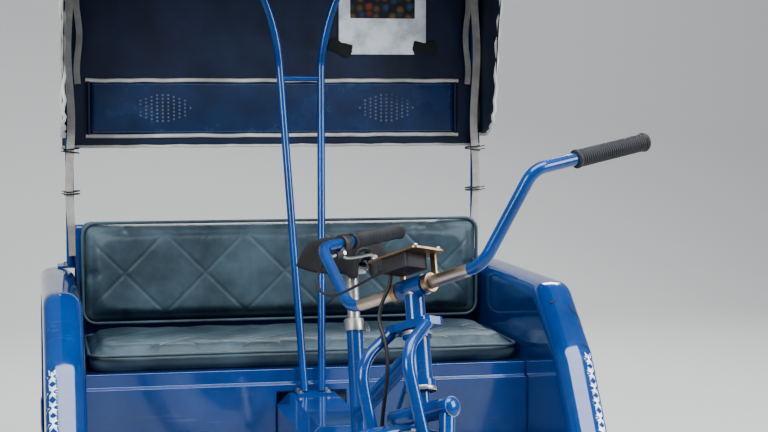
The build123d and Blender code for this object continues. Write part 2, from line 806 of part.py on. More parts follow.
with BuildPart() as battery_block:
    with BuildSketch(Plane.XY.offset(floor_bottom)):
        with Locations((battery_x, battery_y)):
            RectangleRounded(battery_width, battery_length, 10)
    extrude(amount=battery_tall)
keep("battery_block", battery_block.part)

# Canopy arc shared by the cloth and the bows under it
arc_radius = (canopy_half_width ** 2 + canopy_drop ** 2) / (2 * canopy_drop)
arc_centre = canopy_crown - arc_radius


def arc_height(x, inset):
    """Height of the canopy's arc at x, the given distance inside its outer face."""
    return arc_centre + sqrt((arc_radius - inset) ** 2 - x ** 2)


bow_inset = cloth + running_gap + hoop_diameter / 2
bow_end = arc_height(hoop_x, bow_inset)


def roof_bow(y, foot_height):
    """A bow across the canopy, with straight legs down to the given height."""
    with BuildPart() as bow:
        with BuildLine(Plane.XZ.offset(-y)) as route:
            Line((-hoop_x, foot_height), (-hoop_x, bow_end))
            ThreePointArc((-hoop_x, bow_end), (0, arc_height(0, bow_inset)), (hoop_x, bow_end))
            Line((hoop_x, bow_end), (hoop_x, foot_height))
            fillet([v for v in route.vertices() if abs(v.Z - bow_end) < 1], radius=50)
        with BuildSketch(Plane(origin=(-hoop_x, y, foot_height), z_dir=(0, 0, 1))):
            Circle(hoop_diameter / 2)
        sweep()
    return bow.part


rail_level = bow_end - 66
with BuildPart() as canopy_rear_hoop:
    add(roof_bow(hoop_y, fender_top + 5))
    with BuildSketch(Plane.XY.offset(fender_top)):
        with Locations((-hoop_x - 12, hoop_y), (hoop_x + 12, hoop_y)):
            RectangleRounded(46, 84, 8)
    extrude(amount=5)
keep("canopy_rear_hoop", canopy_rear_hoop.part)
canopy_rail_left = tube([(hoop_x, hoop_y, rail_level), (hoop_x, canopy_front + 20, rail_level)], hoop_diameter)
with BuildPart() as canopy_rails:
    add(canopy_rail_left)
    add(canopy_rail_left.mirror(Plane.YZ))
    add(canopy_rear_hoop.part, mode=Mode.SUBTRACT)
keep("canopy_rails", canopy_rails.part)
with BuildPart() as canopy_bows:
    for row in (middle_bow_y, canopy_front + 32):
        add(roof_bow(row, rail_level))
    add(canopy_rails.part, mode=Mode.SUBTRACT)
keep("canopy_bows", canopy_bows.part)

with BuildPart() as canopy_roof:
    with BuildSketch(Plane.XZ.offset(-canopy_rear)):
        with BuildLine():
            over = ThreePointArc((-canopy_half_width, arc_height(canopy_half_width, 0)), (0, canopy_crown),
                                 (canopy_half_width, arc_height(canopy_half_width, 0)))
            under = ThreePointArc((-canopy_half_width, arc_height(canopy_half_width, cloth)),
                                  (0, canopy_crown - cloth),
                                  (canopy_half_width, arc_height(canopy_half_width, cloth)))
            Line(over @ 0, under @ 0)
            Line(over @ 1, under @ 1)
        make_face()
    extrude(amount=canopy_rear - canopy_front)
keep("canopy_roof", canopy_roof.part)

with BuildPart() as canopy_back:
    with BuildSketch(Plane.XZ.offset(-canopy_rear + cloth)):
        with BuildLine():
            arc = ThreePointArc((-canopy_half_width, arc_height(canopy_half_width, cloth)), (0, canopy_crown - cloth),
                                (canopy_half_width, arc_height(canopy_half_width, cloth)))
            Polyline(arc @ 0, (-canopy_half_width, hem_height), (canopy_half_width, hem_height), arc @ 1)
        make_face()
    extrude(amount=-cloth)
keep("canopy_back", canopy_back.part)

side_outline = [
    (canopy_rear - cloth, hem_height + 30), (90, hem_height + 40), (45, 1400), (-110, 1640),
    (canopy_front + 6, 1700), (canopy_front + 6, arc_height(canopy_half_width, cloth) - 1),
    (canopy_rear - cloth, arc_height(canopy_half_width, cloth) - 1),
]
with BuildPart() as canopy_side:
    with BuildSketch(Plane.YZ.offset(canopy_half_width - cloth)):
        with BuildLine():
            Polyline(*side_outline, close=True)
        make_face()
        fillet([v for v in vertices() if -150 < v.Y < 60 and v.Z < 1690], radius=110)
    extrude(amount=cloth)
keep("canopy_side_left", canopy_side.part)
keep("canopy_side_right", canopy_side.part.mirror(Plane.YZ))

with BuildPart() as notice_board:
    with BuildSketch(Plane.XZ.offset(-canopy_rear + cloth)):
        with Locations((board_x, board_level)):
            RectangleRounded(board_width, board_tall, 6)
    extrude(amount=2)
keep("notice_board", notice_board.part)

# Front posts, shaped like a lyre, with a cross bar
post_foot = Vector(post_foot_spacing / 2, post_foot_y, hump_top + 5)
post_bend = Vector(post_waist, middle_bow_y, crossbar_height + 30)
post_knee = Vector(77, middle_bow_y, crossbar_height + 298)
post_head = Vector(450, middle_bow_y, arc_height(450, bow_inset))
knee_turn = radians((post_knee - post_bend).get_angle(post_head - post_knee))
knee_radius = 0.95 * (post_knee - post_bend).length / tan(knee_turn / 2)
with BuildPart() as front_post:
    add(tube([tuple(p) for p in (post_foot, post_bend, post_knee, post_head)], post_diameter, [80, knee_radius]))
    with BuildSketch(Plane.XY.offset(hump_top)):
        with Locations((post_foot_spacing / 2, post_foot_y)):
            Rectangle(post_foot_spacing, post_foot_depth)
    extrude(amount=5)
left_post = less(front_post.part, canopy_bows.part)
keep("front_post_left", left_post)
keep("front_post_right", left_post.mirror(Plane.YZ))
share = (crossbar_height - post_foot.Z) / (post_bend.Z - post_foot.Z)
bar_at = post_foot_y + share * (post_bend.Y - post_foot_y)
bar_half = post_foot.X + share * (post_bend.X - post_foot.X)
post_crossbar = tube([(-bar_half, bar_at, crossbar_height), (bar_half, bar_at, crossbar_height)], crossbar_diameter)
keep("post_crossbar", less(post_crossbar, left_post, pieces["front_post_right"]))

# Bare holder for a plate in the middle of the rear panel
with BuildPart() as plate_holder:
    with BuildSketch(Plane.XZ.offset(-rear_end - panel / 2)):
        with Locations((0, plate_level)):
            RectangleRounded(plate_width, plate_tall, 6)
    extrude(amount=-plate_thickness)
keep("plate_holder", plate_holder.part)

# Tail lamps on the rear panel
with BuildPart() as tail_lamps:
    with BuildSketch(Plane.XZ.offset(-rear_end - panel / 2)):
        with Locations((-lamp_x, lamp_level), (lamp_x, lamp_level)):
            Circle(lamp_radius)
    extrude(amount=-26)
    fillet(tail_lamps.faces().sort_by(Axis.Y)[-1].edges(), radius=8)
keep("tail_lamps", tail_lamps.part)

boxes = [piece.bounding_box() for piece in pieces.values()]
centre_y = (min(box.min.Y for box in boxes) + max(box.max.Y for box in boxes)) / 2
os.makedirs("parts", exist_ok=True)
for name, piece in pieces.items():
    placed = piece.moved(Location((0, -centre_y, 0)))
    placed.label = name
    export_step(placed, "parts/" + name + ".step")
print("pieces", len(pieces), "centre", round(centre_y, 2), "axle drop", round(axle_drop, 2))
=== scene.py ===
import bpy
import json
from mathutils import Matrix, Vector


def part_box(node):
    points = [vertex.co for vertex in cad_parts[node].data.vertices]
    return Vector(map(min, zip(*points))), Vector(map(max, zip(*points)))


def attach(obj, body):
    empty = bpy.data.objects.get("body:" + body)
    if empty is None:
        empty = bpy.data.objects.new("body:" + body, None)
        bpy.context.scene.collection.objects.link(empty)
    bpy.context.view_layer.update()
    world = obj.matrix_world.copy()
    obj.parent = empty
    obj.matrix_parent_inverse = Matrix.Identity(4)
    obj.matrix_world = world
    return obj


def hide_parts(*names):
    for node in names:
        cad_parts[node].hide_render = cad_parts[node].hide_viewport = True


bl_info = {
    "name": "Cycle Rickshaw Dresser",
    "version": (1, 0, 0),
    "blender": (4, 5, 0),
    "location": "3D View > Sidebar > Rickshaw",
    "description": "Dresses a cycle rickshaw: body, upholstery, canopy, wheels, drive and handlebar",
    "category": "Object",
}

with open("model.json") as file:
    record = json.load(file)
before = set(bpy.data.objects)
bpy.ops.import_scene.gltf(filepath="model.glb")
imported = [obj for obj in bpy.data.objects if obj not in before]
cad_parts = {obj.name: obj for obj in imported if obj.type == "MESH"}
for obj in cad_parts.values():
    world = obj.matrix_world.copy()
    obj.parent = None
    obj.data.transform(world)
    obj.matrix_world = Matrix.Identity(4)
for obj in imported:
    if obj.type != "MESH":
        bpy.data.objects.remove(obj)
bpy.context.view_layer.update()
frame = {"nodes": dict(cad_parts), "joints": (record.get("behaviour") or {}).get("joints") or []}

import json
import random
from math import asin, atan2, ceil, copysign, cos, exp, floor, hypot, inf, pi, radians, sin, sqrt, tan, tau

import bmesh
import bpy
from bpy.props import FloatProperty, FloatVectorProperty, IntProperty, PointerProperty
from mathutils import Matrix, Vector, noise

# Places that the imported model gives. Lengths are in metres; the front is -Y and the rider's left is +X.
JOINTS = {joint["name"]: joint for joint in frame["joints"]}
AXLE = Vector(JOINTS["rear_left_spin"]["pos_m"])
CRANK = Vector(JOINTS["crank_spin"]["pos_m"])
FRONT_HUB = Vector(JOINTS["front_wheel_spin"]["pos_m"])
STEER_ORIGIN = Vector(JOINTS["steering"]["pos_m"])
STEER_UP = Vector(JOINTS["steering"]["axis"]).normalized()
STEER_SIDE = Vector(JOINTS["front_wheel_spin"]["axis"]).normalized()
STEER_BACK = STEER_UP.cross(STEER_SIDE).normalized()
INNER_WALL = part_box("floor_pan")[1].x
OUTER_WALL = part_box("fender_left")[1].x
FLOOR_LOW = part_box("floor_pan")[0].z
FLOOR_TOP = FLOOR_LOW + 0.005
FENDER_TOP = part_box("fender_left")[1].z
WHEEL_RADIUS = (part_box("rear_tyre_left")[1].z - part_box("rear_tyre_left")[0].z) / 2
TYRE_HALF = (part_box("rear_tyre_left")[1].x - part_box("rear_tyre_left")[0].x) / 2
X_WAY = Vector((1, 0, 0))
Y_WAY = Vector((0, 1, 0))
Z_WAY = Vector((0, 0, 1))
HOOP_Y = AXLE.y + 0.235


def steered(x, y, z):
    """A point given across, behind and up along the steering axis from the handlebar's middle."""
    return STEER_ORIGIN + STEER_SIDE * x + STEER_BACK * y + STEER_UP * z


def axes_at(origin, x_way, z_way):
    """A placing matrix with the given origin, X way and Z way."""
    z_way = z_way.normalized()
    y_way = z_way.cross(x_way).normalized()
    x_way = y_way.cross(z_way).normalized()
    turned_axes = Matrix((x_way, y_way, z_way)).transposed().to_4x4()
    return Matrix.Translation(origin) @ turned_axes


def around(count, shift=0.0):
    """Angles spaced evenly round a circle."""
    return [tau * (index + shift) / count for index in range(count)]


def along(start, end):
    """A placing matrix at start whose Z runs to end, and the distance between them."""
    way = end - start
    helper = Z_WAY if abs(way.normalized().z) < 0.9 else Y_WAY
    return axes_at(start, helper.cross(way), way), way.length


STEER_PLACE = axes_at(STEER_ORIGIN, STEER_SIDE, STEER_UP)


def steer_shift(x, y, z):
    return STEER_PLACE @ Matrix.Translation(Vector((x, y, z)))


WHEEL_PLACES = {
    "rear_wheel_set_left": axes_at(AXLE, Y_WAY, X_WAY),
    "rear_wheel_set_right": axes_at(Vector(JOINTS["rear_right_spin"]["pos_m"]), Y_WAY, Vector((-1, 0, 0))),
    "front_wheel_set": axes_at(FRONT_HUB, STEER_BACK, STEER_SIDE),
}


def colour_setting(name, description, default):
    return FloatVectorProperty(name=name, description=description, subtype="COLOR", size=3, default=default,
                               min=0, max=1)


def length_setting(name, description, default, low, high):
    return FloatProperty(name=name, description=description, default=default, min=low, max=high,
                         unit="LENGTH")


class RickshawColours(bpy.types.PropertyGroup):
    """The colours of the rickshaw's finishes."""
    moulding: colour_setting("Moulding", "Blue of the moulded body", (0.0015, 0.064, 0.285))
    paint: colour_setting("Paint", "Blue of the painted tubes", (0.002, 0.064, 0.275))
    canopy: colour_setting("Canopy", "Navy of the canopy's vinyl", (0.006, 0.017, 0.055))
    piping: colour_setting("Piping", "Off-white of the piping and straps", (0.62, 0.61, 0.57))
    upholstery: colour_setting("Upholstery", "Blue grey of the bench's vinyl", (0.064, 0.105, 0.130))
    motor: colour_setting("Motor", "Warm grey of the hub motor's casing", (0.34, 0.30, 0.24))


class RickshawSizes(bpy.types.PropertyGroup):
    """The sizes of the rickshaw's dressing."""
    tread_depth: length_setting("Tread depth", "Depth of the grooves in the tyres", 0.0017, 0, 0.004)
    spoke_radius: length_setting("Spoke radius", "Radius of the wire spokes", 0.0011, 0.0005, 0.003)
    quilt_pitch: length_setting("Quilt pitch", "Distance between the diamond seams", 0.150, 0.05, 0.4)
    seam_depth: length_setting("Seam depth", "How deep the seams pull the cushions in", 0.0028, 0, 0.02)
    piping_radius: length_setting("Piping radius", "Radius of the canopy's piping", 0.0046, 0.001, 0.01)
    canopy_sag: length_setting("Canopy sag", "How far the roof sags between its bows", 0.014, 0, 0.05)
    fender_round: length_setting("Fender round", "Radius of the fender shells' edges", 0.026, 0.005, 0.035)
    seed: IntProperty(name="Seed", description="Seed of the small irregular things", default=11, min=0)


class RickshawStage(bpy.types.PropertyGroup):
    """The camera and light round the rickshaw."""
    lens: FloatProperty(name="Lens", description="Focal length in millimetres", default=81.0, min=10)
    backdrop_distance: length_setting("Backdrop distance", "How far back the floor starts to rise",
                                      5.2, 1, 60)
    camera_place: FloatVectorProperty(name="Camera place", description="Where the camera stands", size=3,
                                      subtype="TRANSLATION", default=(-0.673, -3.722, 1.228))
    camera_yaw: FloatProperty(name="Camera yaw", description="Turn to the right of straight back",
                              default=radians(11.7), subtype="ANGLE")
    camera_pitch: FloatProperty(name="Camera pitch", description="How far the camera looks down",
                                default=radians(4.1), subtype="ANGLE")


# Making of meshes


class Shape:
    """Points and faces of one piece while it is made. Each face has the number of its finish."""

    def __init__(self):
        self.points = []
        self.faces = []
        self.marks = []

    def add(self, made, place=None, mark=0):
        points, faces = made
        start = len(self.points)
        self.points += [place @ Vector(p) if place else Vector(p) for p in points]
        self.faces += [[start + index for index in face] for face in faces]
        self.marks += [mark] * len(faces)
        return self

    def rod(self, start, end, radius, count=12, mark=0, end_radius=None):
        place, length = along(Vector(start), Vector(end))
        tip = radius if end_radius is None else end_radius
        return self.add(turned([(0, 0), (radius, 0), (tip, length), (0, length)], count), place, mark)

    def mirrored(self):
        """The same shape on the other side of the vehicle."""
        other = Shape()
        other.points = [Vector((-p.x, p.y, p.z)) for p in self.points]
        other.faces = [list(reversed(face)) for face in self.faces]
        other.marks = list(self.marks)
        return other


def turned(profile, count, closed=False):
    """Points and faces of a profile of radii and heights turned about Z."""
    points = []
    for angle in around(count):
        points += [(r * cos(angle), r * sin(angle), z) for r, z in profile]
    size = len(profile)
    spans = size if closed else size - 1
    faces = []
    for step in range(count):
        after = (step + 1) % count
        for i in range(spans):
            j = (i + 1) % size
            face = [step * size + i, after * size + i, after * size + j, step * size + j]
            if profile[i][0] < 1e-9:
                face = [face[0], face[2], face[3]]
            elif profile[j][0] < 1e-9:
                face = [face[0], face[1], face[3]]
            faces.append(face)
    return points, faces


def both_sides(profile):
    """A profile and its mirror image on the other side of the middle. A point in the middle stays single."""
    return profile + [(r, -z) for r, z in reversed(profile) if z]


def slab(outline, low, high):
    """Points and faces of a flat outline made thick along Z."""
    size = len(outline)
    points = [(x, y, z) for z in (low, high) for x, y in outline]
    faces = [list(reversed(range(size))), [size + i for i in range(size)]]
    faces += [[i, (i + 1) % size, size + (i + 1) % size, size + i] for i in range(size)]
    return points, faces


def rounded(width, height, radius, steps=5):
    """Outline of a rectangle with round corners, about its middle."""
    outline = []
    for turn, (sx, sy) in enumerate(((1, 1), (-1, 1), (-1, -1), (1, -1))):
        for step in range(steps + 1):
            angle = pi / 2 * (turn + step / steps)
            outline.append((sx * (width / 2 - radius) + radius * cos(angle),
                            sy * (height / 2 - radius) + radius * sin(angle)))
    return outline


def soft_block(size, edge, segments=3):
    """Points and faces of a box with rounded edges, about its middle."""
    made = bmesh.new()
    bmesh.ops.create_cube(made, size=1.0, matrix=Matrix.Diagonal((*size, 1)))
    bmesh.ops.bevel(made, geom=list(made.edges), offset=edge, segments=segments, profile=0.5, affect="EDGES")
    made.verts.ensure_lookup_table()
    points = [v.co.copy() for v in made.verts]
    faces = [[v.index for v in face.verts] for face in made.faces]
    made.free()
    return points, faces


def tube(path, radius, count=12, closed=False, flat=1.0):
    """Points and faces of a tube along a path. It may be flattened, and its radius may be a list."""
    path = [Vector(p) for p in path]
    size = len(path)
    radii = radius if isinstance(radius, (list, tuple)) else [radius] * size
    points = []
    side = None
    for index, centre in enumerate(path):
        before = path[index - 1] if index or closed else centre
        after = path[(index + 1) % size] if index < size - 1 or closed else centre
        way = (after - before).normalized()
        if side is None:
            helper = Z_WAY if abs(way.z) < 0.9 else Y_WAY
            side = helper.cross(way).normalized()
        side = (side - way * side.dot(way)).normalized()
        other = way.cross(side)
        for angle in around(count):
            here = centre + side * (radii[index] * cos(angle))
            points.append(here + other * (radii[index] * flat * sin(angle)))
    faces = []
    for index in range(size if closed else size - 1):
        a, b = index * count, (index + 1) % size * count
        faces += [[a + i, a + (i + 1) % count, b + (i + 1) % count, b + i] for i in range(count)]
    if not closed:
        faces.append(list(reversed(range(count))))
        faces.append([(size - 1) * count + i for i in range(count)])
    return points, faces


def ribbon(path, across, width, thickness):
    """Points and faces of a flat band along a path. Across is the band's way at each point."""
    points = []
    path = [Vector(p) for p in path]
    for index, centre in enumerate(path):
        way = (path[min(index + 1, len(path) - 1)] - path[max(index - 1, 0)]).normalized()
        side = across[index] if isinstance(across, list) else across
        side = (side - way * side.dot(way)).normalized()
        face = side.cross(way) * (thickness / 2)
        half = side * (width / 2)
        points += [centre - half - face, centre + half - face, centre + half + face, centre - half + face]
    faces = []
    for index in range(len(path) - 1):
        a, b = 4 * index, 4 * index + 4
        faces += [[a + i, a + (i + 1) % 4, b + (i + 1) % 4, b + i] for i in range(4)]
    last = 4 * (len(path) - 1)
    return points, faces + [[3, 2, 1, 0], [last, last + 1, last + 2, last + 3]]


def curved(points, steps=8):
    """A smooth path through the points, with the given number of steps from each to the next."""
    points = [Vector(p) for p in points]
    path = []
    for index in range(len(points) - 1):
        a = points[max(index - 1, 0)]
        b, c = points[index], points[index + 1]
        d = points[min(index + 2, len(points) - 1)]
        for step in range(steps):
            t = step / steps
            path.append(((2 * b) + (c - a) * t + (2 * a - 5 * b + 4 * c - d) * t ** 2
                         + (3 * b - a - 3 * c + d) * t ** 3) / 2)
    return path + [points[-1]]


def uneven(size, x, y, z):
    """A smooth irregular step of about the given size."""
    return size * noise.noise(Vector((x, y, z)))


def placed(name, data):
    """A new object in the scene, with its data."""
    made = bpy.data.objects.new(name, data)
    bpy.context.scene.collection.objects.link(made)
    return made


def piece(name, shape, finishes, body, replaces=(), sharp=35):
    """An object made from a shape, with its finishes, riding on its body."""
    mesh = bpy.data.meshes.new(name)
    mesh.from_pydata([tuple(p) for p in shape.points], [], shape.faces)
    for finish_name in finishes:
        mesh.materials.append(finish(finish_name))
    mesh.polygons.foreach_set("material_index", shape.marks)
    mesh.polygons.foreach_set("use_smooth", [True] * len(shape.faces))
    mesh.validate()
    mesh.set_sharp_from_angle(angle=radians(sharp))
    return dress(placed(name, mesh), body, replaces)


def dress(made, body, replaces=()):
    """Puts a finished object on its body and the nodes that it stands for."""
    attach(made, body)
    if replaces:
        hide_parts(*replaces)
    return made


def modifier(made, kind, **settings):
    """Adds a modifier with its settings."""
    added = made.modifiers.new(kind.title().replace("_", " "), kind)
    for key, value in settings.items():
        setattr(added, key, value)
    return added


def thicken(made, thickness, offset):
    modifier(made, "SOLIDIFY", thickness=thickness, offset=offset)


def settle(made):
    """Applies an object's modifiers to its mesh."""
    graph = bpy.context.evaluated_depsgraph_get()
    finished = bpy.data.meshes.new_from_object(made.evaluated_get(graph))
    made.modifiers.clear()
    made.data = finished


# Finishes: node groups shared by the materials


def add_node(tree, kind, inputs=None, **settings):
    """A node with its settings, and its inputs set to values or linked from other nodes."""
    made = tree.nodes.new("ShaderNode" + kind)
    for key, value in settings.items():
        setattr(made, key, value)
    for key, value in (inputs or {}).items():
        if isinstance(value, bpy.types.NodeSocket):
            tree.links.new(value, made.inputs[key])
        else:
            made.inputs[key].default_value = value
    return made


def spread(tree, value, low, high, to_low=0.0, to_high=1.0):
    """A value spread from one range to another, and kept inside it."""
    made = add_node(tree, "MapRange", {0: value, 1: low, 2: high, 3: to_low, 4: to_high})
    return made.outputs[0]


def sums(tree, way, first, second, keep=False):
    """One sum of two values."""
    return add_node(tree, "Math", {0: first, 1: second}, operation=way, use_clamp=keep).outputs[0]


def times(tree, first, second, keep=False):
    return sums(tree, "MULTIPLY", first, second, keep)


def plus(tree, first, second, keep=False):
    return sums(tree, "ADD", first, second, keep)


def scaled(colour, factor, rise=0.0, most=inf):
    """A colour made darker or lighter."""
    return tuple(min(part * factor + rise, most) for part in colour)


def mixed(tree, share, first, second):
    """A colour between two others."""
    made = add_node(tree, "Mix", data_type="RGBA")
    for index, value in ((0, share), (6, first), (7, second)):
        if isinstance(value, bpy.types.NodeSocket):
            tree.links.new(value, made.inputs[index])
        elif index:
            made.inputs[index].default_value = (*value, 1)
        else:
            made.inputs[index].default_value = value
    return made.outputs[2]


def cloud(tree, where, scale, detail=3.0, roughness=0.55):
    """A noise texture's value."""
    return add_node(tree, "TexNoise", {"Vector": where, "Scale": scale, "Detail": detail,
                                                "Roughness": roughness}).outputs["Fac"]


def object_place(tree):
    return add_node(tree, "TexCoord").outputs["Object"]


GROUPS = {}


def shared(name, inputs, outputs, build):
    """A node group with named inputs and outputs, built once."""
    if name in GROUPS:
        return GROUPS[name]
    group = bpy.data.node_groups.new(name, "ShaderNodeTree")
    for label, default in inputs.items():
        socket = group.interface.new_socket(name=label, in_out="INPUT", socket_type="NodeSocketFloat")
        socket.default_value = default
    for label in outputs:
        group.interface.new_socket(name=label, in_out="OUTPUT", socket_type="NodeSocketFloat")
    given = group.nodes.new("NodeGroupInput").outputs
    result = group.nodes.new("NodeGroupOutput").inputs
    for label, value in build(group, given).items():
        group.links.new(value, result[label])
    GROUPS[name] = group
    return group


def patches(group, given):
    where = object_place(group)
    value = cloud(group, where, given["Scale"], 5.0, 0.62)
    return {"Mask": spread(group, value, given["Low"], given["High"])}


def scratches(group, given):
    where = object_place(group)
    masks = []
    for turn in ((0.3, 0.5, 0.9), (1.1, 0.2, -0.6)):
        bent = add_node(group, "Mapping",
                        {"Vector": where, "Rotation": turn, "Scale": (1.0, 26.0, 17.0)})
        line = cloud(group, bent.outputs[0], given["Scale"], 2.0, 0.5)
        masks.append(spread(group, line, 0.665, 0.69))
    where_there = spread(group, cloud(group, where, 5.0, 2.0), given["Low"], 0.72)
    return {"Mask": times(group, sums(group, "MAXIMUM", *masks), where_there)}


def dust(group, given):
    where = object_place(group)
    height = add_node(group, "SeparateXYZ", {0: where}).outputs[2]
    normal = add_node(group, "NewGeometry").outputs["Normal"]
    facing = add_node(group, "SeparateXYZ", {0: normal})
    low = spread(group, height, given["High"], given["Low"])
    lying = times(group, spread(group, facing.outputs[2], 0.35, 1.0), 0.45)
    whole = plus(group, low, lying, True)
    cloudy = spread(group, cloud(group, where, 9.0, 6.0, 0.7), 0.35, 0.68)
    return {"Mask": times(group, times(group, whole, cloudy), given["Amount"], True)}


def grain(group, given):
    where = object_place(group)
    cells = add_node(group, "TexVoronoi", {"Vector": where, "Scale": given["Scale"]},
                     feature="DISTANCE_TO_EDGE").outputs["Distance"]
    pebbles = spread(group, cells, 0.0, 0.22)
    creases = cloud(group, where, 38.0, 5.0, 0.65)
    height = plus(group, times(group, pebbles, 0.6), times(group, creases, given["Creases"]))
    return {"Height": height, "Tone": cloud(group, where, 7.0, 5.0, 0.6)}


def weave(group, given):
    where = object_place(group)
    waves = []
    for way in ("X", "Z"):
        inputs = {"Vector": where, "Scale": given["Scale"], "Distortion": 0.6}
        wave = add_node(group, "TexWave", inputs, bands_direction=way)
        waves.append(wave.outputs["Fac"])
    height = sums(group, "MAXIMUM", *waves)
    return {"Height": height, "Tone": spread(group, height, 0.2, 1.0, 0.55, 1.0)}


def brushed(group, given):
    where = object_place(group)
    bent = add_node(group, "Mapping", {"Vector": where, "Scale": (3.0, 3.0, 40.0)})
    return {"Tone": cloud(group, bent.outputs[0], given["Scale"], 4.0, 0.6)}


def chips(group, given):
    where = object_place(group)
    value = cloud(group, where, given["Scale"], 6.0, 0.72)
    where_there = spread(group, cloud(group, where, 6.0, 2.0), 0.45, 0.62)
    mask = times(group, spread(group, value, given["Share"], 0.72), where_there)
    return {"Mask": spread(group, mask, 0.25, 0.4)}


SHARED = {
    "Cloudy Patches": ({"Scale": 6.0, "Low": 0.4, "High": 0.65}, ["Mask"], patches),
    "Hair Scratches": ({"Scale": 9.0, "Low": 0.5}, ["Mask"], scratches),
    "Settled Dust": ({"Low": 0.1, "High": 0.5, "Amount": 0.5}, ["Mask"], dust),
    "Vinyl Grain": ({"Scale": 620.0, "Creases": 0.4}, ["Height", "Tone"], grain),
    "Webbing Weave": ({"Scale": 260.0}, ["Height", "Tone"], weave),
    "Brushed Lines": ({"Scale": 60.0}, ["Tone"], brushed),
    "Paint Chips": ({"Scale": 55.0, "Share": 0.66}, ["Mask"], chips),
}


class Finish:
    """A material with one Principled shader, and short calls for what feeds it."""

    def __init__(self, name, colour, roughness=0.5, **values):
        self.material = bpy.data.materials.new(name)
        self.material.use_nodes = True
        self.material.diffuse_color = (*colour, 1)
        self.tree = self.material.node_tree
        self.shader = self.tree.nodes["Principled BSDF"]
        self.set(Roughness=roughness, **{"Base Color": (*colour, 1)}, **values)
        self.heights = None

    def set(self, **values):
        for key, value in values.items():
            key = key.replace("_", " ")
            if isinstance(value, bpy.types.NodeSocket):
                self.tree.links.new(value, self.shader.inputs[key])
            else:
                self.shader.inputs[key].default_value = value
        return self

    def use(self, name, *values):
        """The outputs of one of the shared groups, whose inputs have the values in order."""
        made = add_node(self.tree, "Group", node_tree=shared(name, *SHARED[name]))
        for socket, value in zip(made.inputs, values):
            socket.default_value = value
        return made.outputs

    def bump(self, height, distance, strength=1.0):
        """Adds a height to what bends the surface's light."""
        inputs = {"Height": height, "Distance": distance, "Strength": strength}
        if self.heights:
            inputs["Normal"] = self.heights
        self.heights = add_node(self.tree, "Bump", inputs).outputs[0]
        self.set(Normal=self.heights)
        return self


def colours():
    return bpy.context.scene.rickshaw_colours


def sizes():
    return bpy.context.scene.rickshaw_sizes


DUST = (0.30, 0.27, 0.22)
SCUFF = (0.36, 0.42, 0.52)


def gel_coat(name, colour, dusty):
    """Glossy moulded plastic with waves in its skin, scratches, smudges and road dust."""
    made = Finish(name, colour, 0.16, Coat_Weight=0.8, Coat_Roughness=0.05, Specular_IOR_Level=0.5)
    tree = made.tree
    deep = scaled(colour, 0.6)
    tone = mixed(tree, made.use("Cloudy Patches", 3.0, 0.35, 0.7)[0], colour, deep)
    marks = made.use("Hair Scratches", 7.0, 0.5)[0]
    tone = mixed(tree, times(tree, marks, 0.14), tone, SCUFF)
    dirt = made.use("Settled Dust", 0.2, 0.7, dusty)[0]
    made.set(Base_Color=mixed(tree, dirt, tone, DUST))
    smudges = made.use("Cloudy Patches", 14.0, 0.42, 0.7)[0]
    rough = plus(tree, spread(tree, smudges, 0.0, 1.0, 0.10, 0.22), times(tree, dirt, 0.55))
    made.set(Roughness=plus(tree, rough, times(tree, marks, 0.15), True))
    made.bump(cloud(tree, object_place(tree), 7.0, 1.0), 0.0022, 0.5)
    made.bump(cloud(tree, object_place(tree), 480.0, 1.0), 0.00006, 0.4)
    return made.bump(marks, -0.00012, 0.6)


def tube_paint(name, colour, chipped=0.66):
    """Sprayed paint on steel tubes, chipped to the primer and steel, with grime."""
    made = Finish(name, colour, 0.2, Coat_Weight=0.4, Coat_Roughness=0.1)
    tree = made.tree
    tone = mixed(tree, made.use("Cloudy Patches", 9.0, 0.4, 0.7)[0], colour,
                 scaled(colour, 0.6))
    chip = made.use("Paint Chips", 60.0, chipped)[0]
    tone = mixed(tree, chip, tone, (0.20, 0.19, 0.18))
    marks = made.use("Hair Scratches", 14.0, 0.46)[0]
    tone = mixed(tree, times(tree, marks, 0.16), tone, SCUFF)
    dirt = made.use("Settled Dust", 0.15, 0.6, 0.22)[0]
    made.set(Base_Color=mixed(tree, dirt, tone, DUST))
    made.set(Roughness=plus(tree, spread(tree, chip, 0.0, 1.0, 0.2, 0.55),
                            times(tree, dirt, 0.5), True))
    made.bump(chip, -0.0002, 0.7)
    return made.bump(cloud(tree, object_place(tree), 300.0, 1.0), 0.00005, 0.4)


def vinyl(name, colour, scale, creases, shine, dusty, worn):
    """Coated cloth with a pebbled grain, soft creases, wear and dust."""
    made = Finish(name, colour, shine, Specular_IOR_Level=0.5)
    tree = made.tree
    skin = made.use("Vinyl Grain", scale, creases)
    tone = mixed(tree, spread(tree, skin["Tone"], 0.35, 0.7), scaled(colour, 0.7),
                 scaled(colour, 1.45, 0.004, 1))
    wear = made.use("Cloudy Patches", 11.0, 0.55, 0.75)[0]
    tone = mixed(tree, times(tree, wear, worn), tone, scaled(colour, 2.6, 0.03, 1))
    dirt = made.use("Settled Dust", 0.0, 0.05, dusty)[0]
    made.set(Base_Color=mixed(tree, dirt, tone, DUST))
    made.set(Roughness=plus(tree, spread(tree, skin["Tone"], 0.3, 0.7, shine - 0.08, shine + 0.12),
                            times(tree, dirt, 0.4), True))
    return made.bump(skin["Height"], 0.00035, 0.7)


